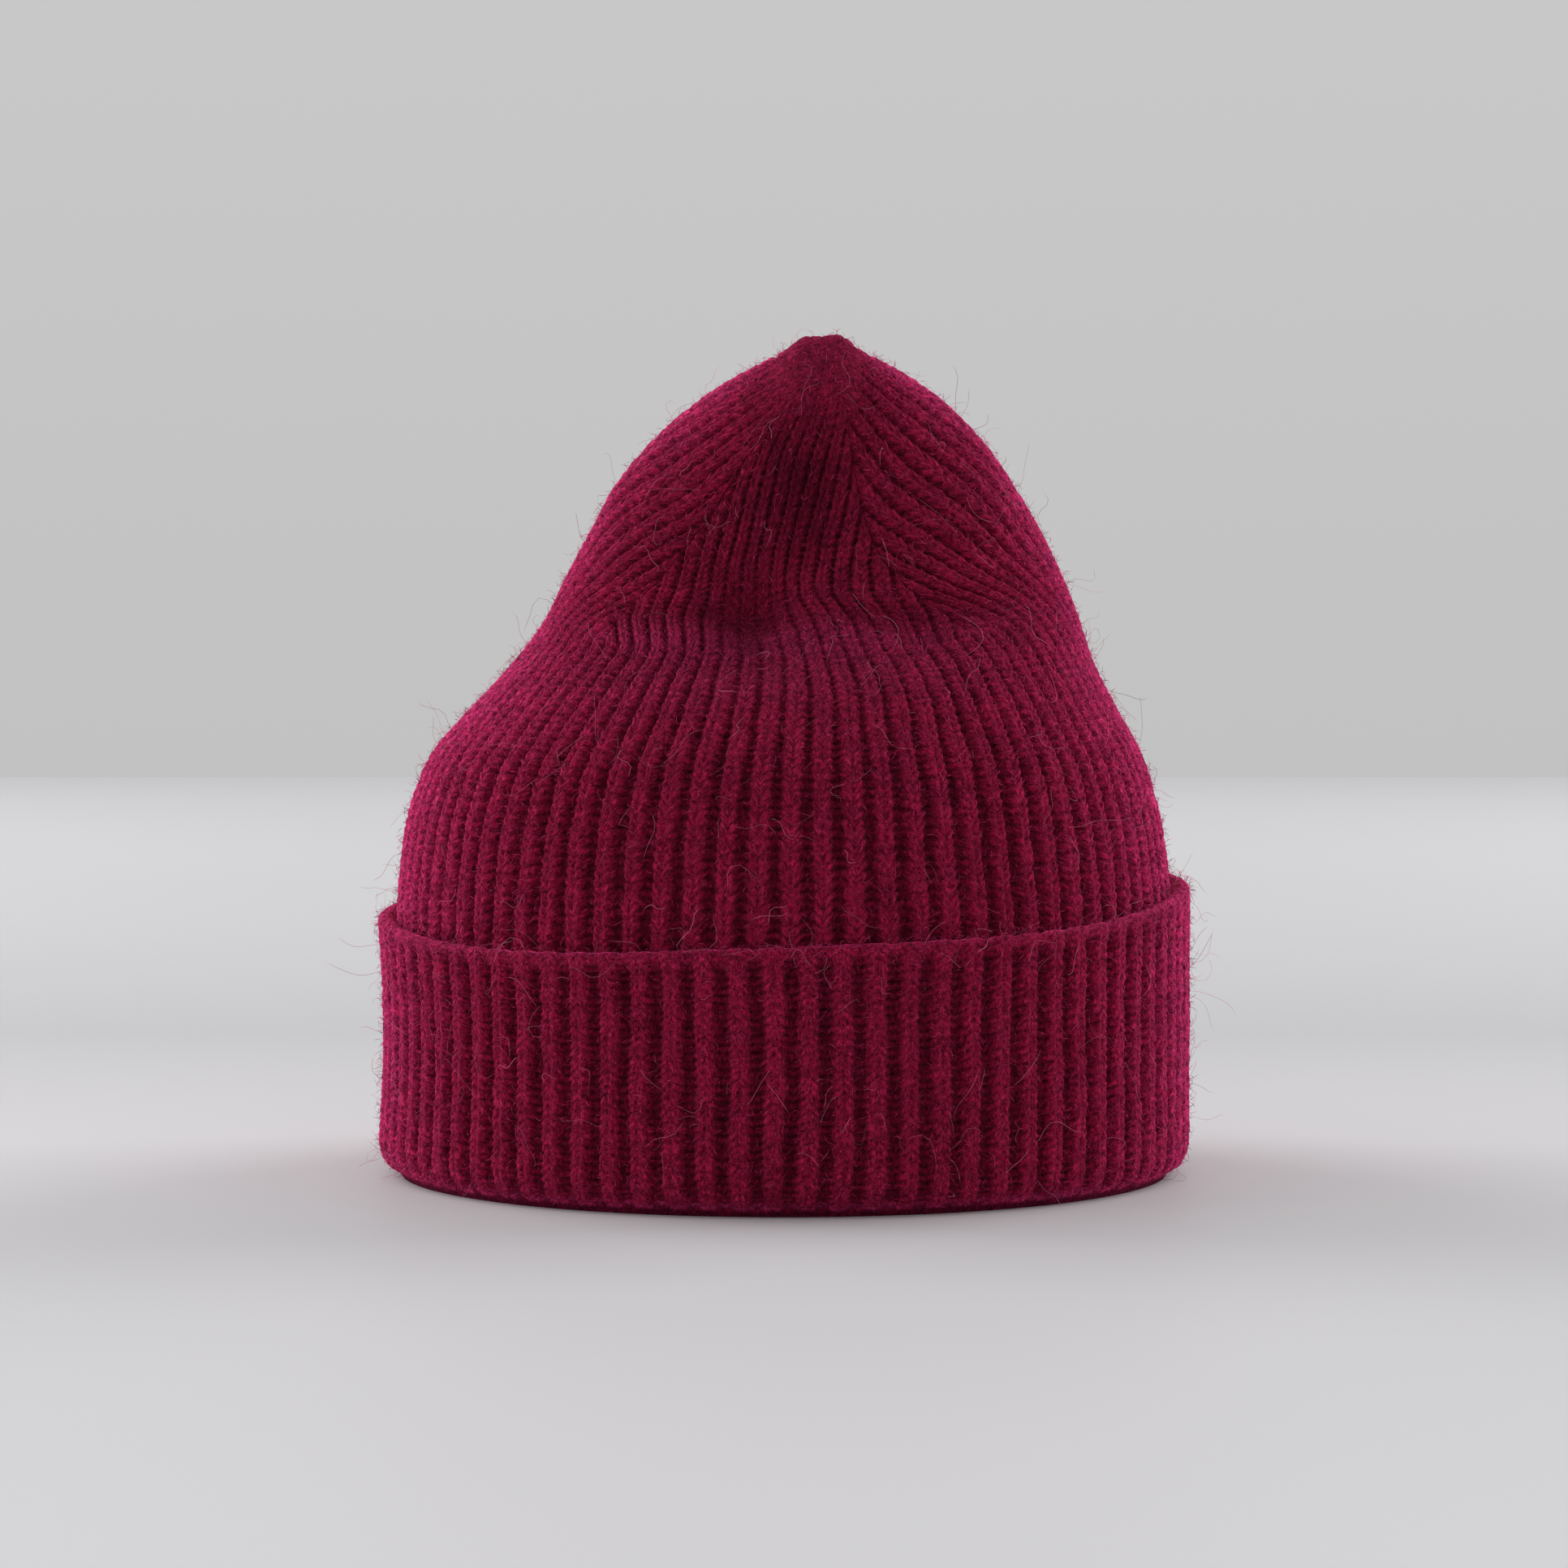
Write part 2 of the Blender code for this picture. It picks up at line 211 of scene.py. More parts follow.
# How the ribs wander: size of each noise, its share of a pitch, and its seed
RIB_WANDER = ((0.014, 0.055, 3), (0.003, 0.045, 4))

# Kinds of ribs, and the least and most of their width, their depth and the shift of their rows
RIB_KINDS = 128
RIB_WIDTHS = (0.93, 1.08)
RIB_DEPTHS = (0.86, 1.06)
RIB_SHIFTS = (-0.25, 0.25)

# Felting: sizes of its coarse and fine noise, the fine one's share, and how far they move the rows
# and roughen the bars, which get a little less painted shade than the rest of a furrow
COARSE_FELT = 0.0021
FINE_FELT = 0.0009
FINE_FELT_SHARE = 0.7
ROW_WANDER = 0.22
BAR_ROUGHNESS = 0.9
BAR_SHADE_RELIEF = 0.26

# Seeds of the knit of the crown and the cuff, and of the fuzz
CROWN_SEED = 20
CUFF_SEED = 40
FUZZ_SEED = 11
STRAND_SEED = 7

# S curves up the crown, each from a place over a reach: where the ribs fade out at the tip, the peak
# gets slim and full again, the bumps rise, the peak's front gets painted shade, the fuzz begins and the
# low ribs of the inside fade out
TIP_FADE = (0.88, 0.08)
TRIM_START = (0.80, 0.07)
TRIM_END = (0.90, 0.06)
BUMP_START = (0.82, 0.06)
PEAK_START = (0.69, 0.08)
FUZZ_START = (0.20, 0.05)
INNER_FADE = (0.60, 0.30)

# How far from the middle the front reaches its full strength, how much a dimple flattens the ribs
# and holds off the bridge, and the bridge's slope forwards and up
FRONT_REACH = 0.035
FLATTENING = 0.80
DIMPLE_CUT = 1.2
BRIDGE_SLOPE = 0.7

# Deepest furrow as a share of a narrow pitch, and the stitches' relief and its limits on the crown
NARROW_DEPTH = 0.43
STITCH_SHARE = 0.9
STITCH_LIMITS = (0.36, 0.9)

# A line of decreases: half width in ribs, length of its start, depth in furrows
DART_HALF = 0.30
DART_REACH = 0.02
DART_DEPTH = 0.75

# How much sooner than its depth a furrow gets its painted shade on crown and cuff, how much painted
# shade the peak's front gets, and how bare of fuzz a furrow is
FURROW_SHADE_GAIN = 1.4
CUFF_SHADE_GAIN = 1.2
PEAK_SHADE = 0.25
FURROW_BALDNESS = 0.75

# Inside: height of its low ribs, how much thinner the wall is there, and its fuzz
INNER_RIB = 0.0010
INNER_SHIFT = 0.0007
INNER_FUZZ = 0.06

# The knit map begins at this rib, so that no place on it is below 0
MAP_START = 100.0

# Fibres: piece, material, setting of their number, length, segments, lift, spread of their curl, wave
# and radius, where a pair is the least and the most
FIBRES = (
    ("fuzz_short", "fuzz_wool", "fuzz_count", (0.0012, 0.0031), 2, (0.2, 1.9), 1.2, None,
     (0.000040, 0.000070)),
    ("fuzz_curled", "fuzz_wool", "curl_count", (0.002, 0.0050), 4, (0.1, 0.9), 2.2, (0.0, 0.8),
     (0.000025, 0.000045)),
    ("stray_hairs", "hair_wool", "hair_count", (0.005, 0.015), 7, (0.05, 0.55), 1.9, (0.1, 0.8),
     (0.000024, 0.000042)),
)

# Depth of the fibres' roots, and how near to the table a fibre comes
ROOT_DEPTH = 0.0001
LOWEST_FIBRE = 0.0002

# Softboxes: name, place, setting of their power and share of it, size and colour
SOFTBOXES = (
    ("left_softbox", (-1.30, 0.00, 0.60), "left_light", 1.0, 1.5, (1.0, 1.0, 1.0)),
    ("right_softbox", (1.40, 0.00, 0.60), "right_light", 1.0, 1.5, (1.0, 0.99, 0.98)),
    ("back_left_softbox", (-1.20, 0.90, 0.70), "back_light", 1.0, 1.2, (1.0, 1.0, 1.0)),
    ("back_right_softbox", (1.20, 0.90, 0.70), "back_light", 1.02, 1.2, (1.0, 1.0, 1.0)),
    ("front_softbox", (0.00, -2.50, 0.80), "front_light", 1.0, 1.5, (1.0, 1.0, 1.0)),
)
HAT_MIDDLE = (0.0, 0.0, 0.09)

# Sheets of the stage: half width of both, the table's near and far end, the backdrop's place and ends
STAGE_HALF = 6.0
TABLE_NEAR = -5.0
TABLE_FAR = 1.56
BACKDROP_BEHIND = 3.0
BACKDROP_LOW = -3.0
BACKDROP_HIGH = 4.0

# Knit map in millimetres for one rib and one course, and how much shorter streaks are along the yarn
RIB_MM = 7.0
COURSE_MM = 2.0
STREAK_STRETCH = 0.28

# Painted sheen on the outline: how sharply it brightens, and what it does to the colour
SHEEN_EDGE_POWER = 2.7
SHEEN_EDGE_TINT = (2.5, 5.0, 4.3, 1.0)


def length_setting(name, description, default):
    """Setting that holds a length in metres."""
    return bpy.props.FloatProperty(name=name, description=description, default=default, unit="LENGTH")


def power_setting(name, description, default):
    """Setting that holds the power of a light in watts."""
    return bpy.props.FloatProperty(name=name, description=description, default=default, unit="POWER")


def colour_setting(name, description, default):
    """Setting that holds a colour."""
    return bpy.props.FloatVectorProperty(
        name=name, description=description, default=default, subtype="COLOR", min=0.0, max=1.0)


def count_setting(name, description, default, most):
    """Setting that holds a number of fibres."""
    return bpy.props.IntProperty(name=name, description=description, default=default, min=0, max=most)


class BeanieSizes(bpy.types.PropertyGroup):
    """Sizes of the hat and its knit."""

    hat_width: length_setting("Width", "Outer width of the cuff", 0.1752)
    hat_depth: length_setting("Depth", "Outer depth of the cuff", 0.1926)
    hat_height: length_setting("Height", "Height of the whole hat", 0.1797)
    cuff_height: length_setting("Cuff height", "Mean height of the cuff's rim", 0.0588)
    crown_wall: length_setting("Crown wall", "Thickness of the knitted crown", 0.0032)
    cuff_wall: length_setting("Cuff wall", "Thickness of the turned-up band", 0.0040)
    layer_gap: length_setting("Layer gap", "Gap between crown and cuff", 0.0006)
    valley_depth: length_setting("Valley", "Hollow down the front of the peak", 0.0060)
    rib_turn: bpy.props.FloatProperty(
        name="Rib turn", description="Turn of all ribs round the hat", default=math.radians(-1.4),
        subtype="ANGLE")
    furrow_depth: length_setting("Furrow depth", "Depth of the furrows between ribs", 0.0021)
    leg_rise: length_setting("Leg rise", "How far the two legs of a stitch stand out", 0.00055)
    stitch_rise: length_setting("Stitch rise", "Depth between two stitches of a leg", 0.00045)
    purl_rise: length_setting("Purl rise", "Depth of the holes between the bars in a furrow", 0.00048)
    felt_rise: length_setting("Felting", "Unevenness of the brushed face", 0.00020)


class BeanieWool(bpy.types.PropertyGroup):
    """Colours of the wool and the amount of fuzz."""

    wool_colour: colour_setting("Wool", "Colour of the yarn", (0.310, 0.0062, 0.0400))
    # The furrow colour is painted shade: the same yarn drawn darker where the furrows, the hollows and
    # the flat ring underneath get less light
    furrow_shade_colour: colour_setting(
        "Furrows", "Colour of the yarn deep in the furrows", (0.075, 0.0009, 0.0085))
    # The bloom colour is partly paler fibres and partly a painted highlight on the crests
    bloom_highlight_colour: colour_setting(
        "Bloom", "Colour of the brushed fibres on the crests", (0.740, 0.0420, 0.1700))
    fuzz_colour: colour_setting("Fuzz", "Colour of the short fuzz", (0.640, 0.0420, 0.1800))
    hair_colour: colour_setting("Stray hairs", "Colour of the long stray hairs", (0.85, 0.20, 0.32))
    fuzz_count: count_setting("Fuzz", "Number of short fibres", 24000, 33000)
    curl_count: count_setting("Curls", "Number of short curled hairs", 3600, 8000)
    hair_count: count_setting("Stray hairs", "Number of long stray hairs", 1100, 2000)


class BeanieStudio(bpy.types.PropertyGroup):
    """Table, backdrop and lights."""

    backdrop_colour: colour_setting("Backdrop", "Colour of the backdrop", (0.575, 0.575, 0.575))
    table_colour: colour_setting("Table", "Colour of the table", (0.816, 0.804, 0.830))
    left_light: power_setting("Left light", "Power of the left softbox", 5.6)
    right_light: power_setting("Right light", "Power of the right softbox", 2.4)
    back_light: power_setting(
        "Back light", "Power of each of the two softboxes behind the hat", 15.5)
    front_light: power_setting("Front light", "Power of the softbox over the camera", 5.0)
    sky_light: bpy.props.FloatProperty(
        name="Room light", description="Strength of the light from all round", default=0.355)


def smooth_step(value):
    """0 below 0, 1 above 1, and the S curve 3v^2-2v^3 between."""
    value = np.clip(value, 0.0, 1.0)
    return value*value*(3.0-2.0*value)


def ramp(value, start, reach):
    """S curve from 0 at the start to 1 a reach further on."""
    return smooth_step((value-start)/reach)


def lattice_noise(points, size, seed):
    """Smooth noise from -1 to 1 in cells of the given size.

    Every corner of a cell has a random value, and an S curve along each axis blends the eight.
    """
    table = np.random.default_rng(seed).uniform(-1.0, 1.0, NOISE_VALUES)
    place = points/size
    cell = np.floor(place).astype(np.int64)
    part = smooth_step(place-cell)
    total = np.zeros(points.shape[:-1])
    for corner in np.ndindex(2, 2, 2):
        x, y, z = np.moveaxis(cell+np.array(corner), -1, 0)
        key = (x*NOISE_PRIMES[0]) ^ (y*NOISE_PRIMES[1]) ^ (z*NOISE_PRIMES[2])
        weight = np.prod(np.where(corner, part, 1.0-part), axis=-1)
        total += table[key & (NOISE_VALUES-1)]*weight
    return total


def read_rings(along):
    """Every column of RINGS at the given places, on cubic curves through the rows."""
    place = RINGS[:, 0]
    slope = np.gradient(RINGS, place, axis=0)
    row = np.clip(np.searchsorted(place, along, side="right")-1, 0, len(place)-2)
    step = place[row+1]-place[row]
    t = ((along-place[row])/step)[..., None]
    step = step[..., None]
    values = (RINGS[row]*(1+2*t)*(1-t)**2+slope[row]*step*t*(1-t)**2
              + RINGS[row+1]*t*t*(3-2*t)+slope[row+1]*step*t*t*(t-1))
    return {name: values[..., i] for i, name in enumerate(RING_COLUMNS)}


def ribs_left(along):
    """Half the number of ribs that a panel still has at this place on the cloth."""
    left = (1.0-along)/(1.0-DART_SHARE)
    return TIP_RIBS/2+(HALF_RIBS-TIP_RIBS/2)*np.minimum(left, 1.0)


def ring_angle(flat, half_width, half_depth, gather, turn):
    """Angle on a ring of the rib whose even angle is flat.

    flat+(evening-gather)*sin(2*flat)+turn, where evening keeps ribs apart equally on an ellipse.
    """
    even = (half_depth-half_width)/(half_depth+half_width+1e-9)/2
    return flat+(even-gather)*np.sin(2*flat)+turn


def crown_halves(sizes):
    """Half width and half depth of the crown inside the cuff."""
    inset = sizes.cuff_wall+sizes.layer_gap
    return sizes.hat_width/2-inset, sizes.hat_depth/2-inset


def crown_face(sizes, panel, share, along):
    """Smooth outer face of the crown, through the crests of the ribs.

    A point lies on the ellipse of its ring, which is tilted forward and to the left. The front
    panel is pushed in by the valley times cos^2 across the panel.
    """
    ring = read_rings(along)
    full_width, full_depth = crown_halves(sizes)
    half_width = full_width*ring["width"]
    half_depth = full_depth*ring["depth"]
    angle = ring_angle(DART_ANGLE*(2*panel+share), half_width, half_depth,
                       np.radians(ring["gather"]), sizes.rib_turn+np.radians(ring["twist"]))
    hollow = np.cos(share*math.pi/2)**2*(panel == 0)
    across = half_width*np.sin(angle)
    ahead = half_depth*np.cos(angle)-sizes.valley_depth*ring["valley"]*hollow
    forward = np.radians(ring["forward"])
    left = np.radians(ring["left"])
    x = sizes.hat_width*ring["right"]+across*np.cos(left)
    y = sizes.hat_depth*ring["back"]-ahead*np.cos(forward)
    z = (SEAT+(sizes.hat_height-SEAT)*ring["height"]
         - ahead*np.sin(forward)+across*np.sin(left))
    return np.stack((x, y, z), axis=-1)


def crown_normal(sizes, panel, share, along):
    """Outward normal of the crown's face: cross product of a step round it and a step up it."""
    turn, climb = 0.02, 0.002
    along = np.minimum(along, 1.0-3*climb)
    low = along-climb
    around = (crown_face(sizes, panel, share+turn, along)
              - crown_face(sizes, panel, share-turn, along))
    upward = (crown_face(sizes, panel, share, low+2*climb)
              - crown_face(sizes, panel, share, low))
    normal = np.cross(around, upward)
    return normal/np.linalg.norm(normal, axis=-1, keepdims=True)


def rim_height(sizes, angle):
    """Height of the cuff's rim: it rises to the right and the back, with a small wave between."""
    return (sizes.cuff_height+RIM_RISE_RIGHT*np.sin(angle)-RIM_RISE_BACK*np.cos(angle)
            + RIM_WAVE*np.cos(4*angle))


def rib_wander(points, phase):
    """Moves ribs a little to and fro, by smooth noise of two sizes."""
    for size, share, seed in RIB_WANDER:
        phase = phase+share*lattice_noise(points, size, seed)
    return phase


def knit_depth(sizes, points, phase, course, slant, fullness, openness, stitching, seed):
    """Depth of the knitted face below the crests, and how deep in a furrow it is from 0 to 1, which sets
    its painted shade.

    A rib's crest is at phase n+0.5 and its furrows at whole phases. Across the rib an S curve falls
    from crest to furrow. One yarn climbs as a leg on the crest and runs level as a bar in the furrow:
    |cos(pi*(course-slant*far*(1-far)))|, far being the way from the crest. It makes the rib's edges
    jagged and leaves holes between the bars. On the crest lie two round legs, and noise of two sizes
    stands for felting.
    """
    rng = np.random.default_rng(seed)
    widths, depths, shifts = (
        rng.uniform(*limits, RIB_KINDS) for limits in (RIB_WIDTHS, RIB_DEPTHS, RIB_SHIFTS))
    rib = np.floor(phase).astype(np.int64)
    far = np.abs(phase-rib-0.5)
    kind = rib % RIB_KINDS
    coarse = lattice_noise(points, COARSE_FELT, seed+1)
    fine = lattice_noise(points, FINE_FELT, seed+2)
    row = course+shifts[kind]*(1.0-2.0*far)+ROW_WANDER*coarse
    yarn = np.abs(np.cos(math.pi*(row-slant*far*(1.0-far))))
    begin, end = ((1-openness)*closed+openness*wide for closed, wide in zip(CLOSED_SIDE, OPEN_SIDE))
    side = smooth_step((far*widths[kind]+YARN_JAG*(0.5-yarn)-begin)/(end-begin))
    leg = np.clip(1.0-((far-LEG_PLACE)/LEG_HALF)**2, 0.0, 1.0)
    depth = sizes.furrow_depth*depths[kind]*side
    depth = depth+(1.0-side)*(sizes.leg_rise*(1.0-leg)+sizes.stitch_rise*stitching*(1.0-yarn))
    depth = depth+side*sizes.purl_rise*(1.0-yarn+BAR_ROUGHNESS*fine)
    felt = sizes.felt_rise*(coarse+FINE_FELT_SHARE*fine)*(0.5+0.5*fullness)
    # The furrow value is the painted shade of a furrow, a little less on its bars
    return depth*fullness+felt, side*(1.0-BAR_SHADE_RELIEF*yarn)


def grid_faces(index):
    """Two triangles for each cell of a grid of point numbers."""
    low, high = index[:-1], index[1:]
    first = np.stack((low[:, :-1], low[:, 1:], high[:, 1:]), axis=-1).reshape(-1, 3)
    second = np.stack((low[:, :-1], high[:, 1:], high[:, :-1]), axis=-1).reshape(-1, 3)
    return np.concatenate((first, second))


def zip_faces(first, second, first_place, second_place):
    """Triangles between two rows of point numbers whose places both rise from their first point.

    The row whose next place is lower steps on, so all steps come in the order of their places.
    """
    order = np.argsort(np.concatenate((first_place[1:], second_place[1:])), kind="stable")
    on_first = order < len(first)-1
    i = np.cumsum(on_first)-on_first
    j = np.cumsum(~on_first)-(~on_first)
    next_i = np.minimum(i+1, len(first)-1)
    next_j = np.minimum(j+1, len(second)-1)
    ahead = np.where(on_first, first[next_i], second[next_j])
    return np.stack((first[i], ahead, second[j]), axis=-1)


def whole_faces(faces):
    """The triangles that don't use a point twice."""
    a, b, c = faces.T
    return faces[(a != b) & (b != c) & (c != a)]


def spots(points, table):
    """Soft spots seen from the front: each is its share times exp(-(right^2+up^2)) in its half sizes."""
    total = np.zeros(len(points))
    for right, up, wide, high, share in table:
        away = ((points[:, 0]-right)/wide)**2+((points[:, 2]-up)/high)**2
        total = np.maximum(total, share*np.exp(-away))
    return total


def peak_trim(along):
    """How far the upper peak lies inside its rings, by an S curve in and another out again."""
    return PEAK_TRIM*ramp(along, *TRIM_START)*(1.0-ramp(along, *TRIM_END))


def crease_bridge(sizes, panel, share, along, smooth, outside):
    """How far a straight line across the crease lies outside the crown's face.

    The distance d of the line becomes d^2/(d+softness), which leaves the face without an edge.
    """
    low, high = CREASE_ENDS
    part = np.clip((along-low)/(high-low), 0.0, 1.0)[:, None]
    first, last = (crown_face(sizes, panel, share, np.full(len(along), end)) for end in CREASE_ENDS)
    away = np.maximum(np.sum((first*(1.0-part)+last*part-smooth)*outside, axis=-1), 0.0)
    away = np.where((along > low) & (along < high), away, 0.0)
    return away*away/(away+CREASE_SOFTNESS)


def rib_pitch(sizes, along):
    """Width of a rib with its furrow: the ring's length, 2*pi*sqrt((a^2+b^2)/2), over its ribs."""
    ring = read_rings(along)
    full_width, full_depth = crown_halves(sizes)
    around = 2*math.pi*np.sqrt(((full_width*ring["width"])**2+(full_depth*ring["depth"])**2)/2)
    return around/(2*PANELS*ribs_left(along))


def tip_bumps(points, along, tip):
    """Raises the two small bumps, each by exp(-(right^2+back^2)) in shares of its reaches."""
    for middle in TIP_BUMPS:
        behind = points[:, 1]-tip[1]-TIP_BEHIND
        away = ((points[:, 0]-middle)/TIP_REACH)**2+(behind/TIP_BEHIND)**2
        points[:, 2] += TIP_RISE*np.exp(-away)*ramp(along, *BUMP_START)


def panel_grid(along, columns):
    """Point numbers of a panel that narrows along its two lines of decreases to a point.

    Columns beyond the ribs that are left all meet in the point on the line itself. Returns the
    grid of numbers, and the rib place and the place along the cloth of every point.
    """
    left = ribs_left(along)
    first = np.searchsorted(columns, -left+COLUMN_MARGIN, side="right")-1
    last = np.searchsorted(columns, left-COLUMN_MARGIN, side="left")
    first[-1] = last[-1] = len(columns)//2
    counts = last-first+1
    base = np.concatenate(((0,), np.cumsum(counts)[:-1]))
    column = np.arange(len(columns))
    index = base[:, None]+np.clip(column, first[:, None], last[:, None])-first[:, None]
    row_of = np.repeat(np.arange(len(along)), counts)
    column_of = np.arange(counts.sum())-base[row_of]+first[row_of]
    place = np.clip(columns[column_of], -left[row_of], left[row_of])
    return index, place, along[row_of]


def rib_columns(cuts):
    """Rib places of a panel's columns: every rib is cut at the same shares of its pitch."""
    return np.append((np.arange(-HALF_RIBS, HALF_RIBS)[:, None]+np.array(cuts)).ravel(), HALF_RIBS)


def panel_outside(sizes, panel, rows):
    """Knitted outer face of a panel: its grid, points, normals, knit places, painted furrow shade and
    fuzz.

    It is the crown's face less the knit's depth.
    """
    index, place, along = panel_grid(rows, rib_columns(OUTER_CUTS))
    share = np.clip(place/ribs_left(along), -1.0, 1.0)
    smooth = crown_face(sizes, panel, share, along)
    normal = crown_normal(sizes, panel, share, along)
    front = smooth_step(-smooth[:, 1]/FRONT_REACH)
    # Dimples and shallows flatten the ribs, and the hollows get painted shade
    dent, hollow, shallow = (spots(smooth, table)*front for table in (DIMPLES, HOLLOW_SHADES, SHALLOWS))

    # The ribs close up on the belly, and are shallow where they are narrow, slack or pressed flat
    openness = 1.0-ramp(along, CLOSE_START, CLOSE_END-CLOSE_START)
    slack = 1.0 if panel == 0 else SLACK_DEPTH
    soft = (slack+(1.0-slack)*openness)*(1.0-FLATTENING*dent)*(1.0-FLATTENING*shallow)
    narrow = np.minimum(NARROW_DEPTH*rib_pitch(sizes, along)/sizes.furrow_depth, 1.0)
    fullness = narrow*soft*(1.0-ramp(along, *TIP_FADE))
    phase = rib_wander(smooth, place)
    course = along*CROWN_COURSES
    depth, furrow = knit_depth(sizes, smooth, phase, course, STITCH_SLANT, fullness, openness,
                               STITCH_SHARE/np.clip(fullness, *STITCH_LIMITS), CROWN_SEED+panel)

    # Painted shade: shallow furrows get less of it, and the hollows and the front of the peak more
    furrow = furrow*(0.5+0.5*np.clip(fullness*FURROW_SHADE_GAIN, 0.0, 1.0))*(1.0-0.5*shallow)
    peak = ramp(along, *PEAK_START)*np.clip(-normal[:, 1], 0.0, 1.0)
    furrow = furrow+(1.0-furrow)*np.maximum(hollow, PEAK_SHADE*peak)
    dart = 1.0-smooth_step((ribs_left(along)-np.abs(place))/DART_HALF)
    dart = dart*ramp(along, DART_SHARE, DART_REACH)
    depth = np.maximum(depth, DART_DEPTH*sizes.furrow_depth*fullness*dart)

    # The cloth bridges the crease forwards and up, but not over the dimples
    steep = np.sqrt(1.0-np.minimum(normal[:, 0]**2, 1.0))
    outside = np.stack((normal[:, 0], -BRIDGE_SLOPE*steep, BRIDGE_SLOPE*steep), axis=-1)
    fill = crease_bridge(sizes, panel, share, along, smooth, outside)*front
    fill = fill*(1.0-np.clip(DIMPLE_CUT*dent, 0.0, 1.0))
    points = smooth-normal*(depth+peak_trim(along))[:, None]+outside*fill[:, None]
    tip_bumps(points, along, smooth[-1])
    knit = np.stack((phase+MAP_START, course), axis=-1)
    fuzz = np.clip(ramp(along, *FUZZ_START)*(1.0-FURROW_BALDNESS*furrow), 0.0, 1.0)
    return index, points, normal, knit, furrow, fuzz


def panel_inside(sizes, panel, rows):
    """Inner face of a panel, a wall further in, with low ribs that fade out towards the tip."""
    index, place, along = panel_grid(rows, rib_columns(INNER_CUTS))
    share = np.clip(place/ribs_left(along), -1.0, 1.0)
    normal = crown_normal(sizes, panel, share, along)
    ridge = 0.5+0.5*np.cos(2*math.pi*place)
    low_rib = INNER_RIB*(1.0-ramp(along, *INNER_FADE))
    points = crown_face(sizes, panel, share, along)
    points = points-normal*(sizes.crown_wall-INNER_SHIFT+low_rib*ridge+peak_trim(along))[:, None]
    front, back = (crown_face(sizes, number, np.zeros(1), np.full(1, INNER_TIP))[0] for number in (0, 2))
    points[-1] = (front+back)/2-np.array((0.0, 0.0, sizes.crown_wall))
    knit = np.stack((place+(MAP_START+0.5), along*CROWN_COURSES), axis=-1)
    # The furrow value between the low ribs gives them painted shade
    return index, points, -normal, knit, 1.0-ridge, np.full(len(points), INNER_FUZZ)


def knit_panel(sizes, panel):
    """Closed shell of one panel of the crown: points, faces, knit places, painted furrow shade and fuzz.

    Walls along the two lines of decreases and the lower edge join the outer to the inner face.
    """
    courses = CROWN_COURSES*CROWN_FINENESS
    shown = np.arange(math.ceil(COVERED[1]*CROWN_COURSES*CROWN_FINENESS), courses)/courses
    outer_rows = np.concatenate((np.linspace(*COVERED)[:-1], shown, (1.0,)))
    low_rows, high_rows = (np.linspace(*part) for part in INNER_ROWS)
    inner_rows = np.concatenate((low_rows, high_rows[1:], (INNER_TOP,)))
    outer, *outer_values = panel_outside(sizes, panel, outer_rows)
    inner, *inner_values = panel_inside(sizes, panel, inner_rows)
    inner = inner+len(outer_values[0])

    faces = [grid_faces(outer), grid_faces(inner)[:, ::-1]]
    cut = sum(len(whole_faces(part)) for part in faces)
    inner_places = inner_rows/inner_rows[-1]
    faces.append(zip_faces(outer[:, 0], inner[:, 0], outer_rows, inner_places))
    faces.append(zip_faces(outer[:, -1], inner[:, -1], outer_rows, inner_places)[:, ::-1])
    faces.append(zip_faces(outer[0], inner[0], rib_columns(OUTER_CUTS), rib_columns(INNER_CUTS))[:, ::-1])
    cloth = {key: np.concatenate(pair) for key, *pair in zip(
        ("points", "outward", "knit", "furrow", "fuzz"), outer_values, inner_values)}
    cloth["faces"] = whole_faces(np.concatenate(faces))
    cloth["smooth_faces"] = cut
    return cloth


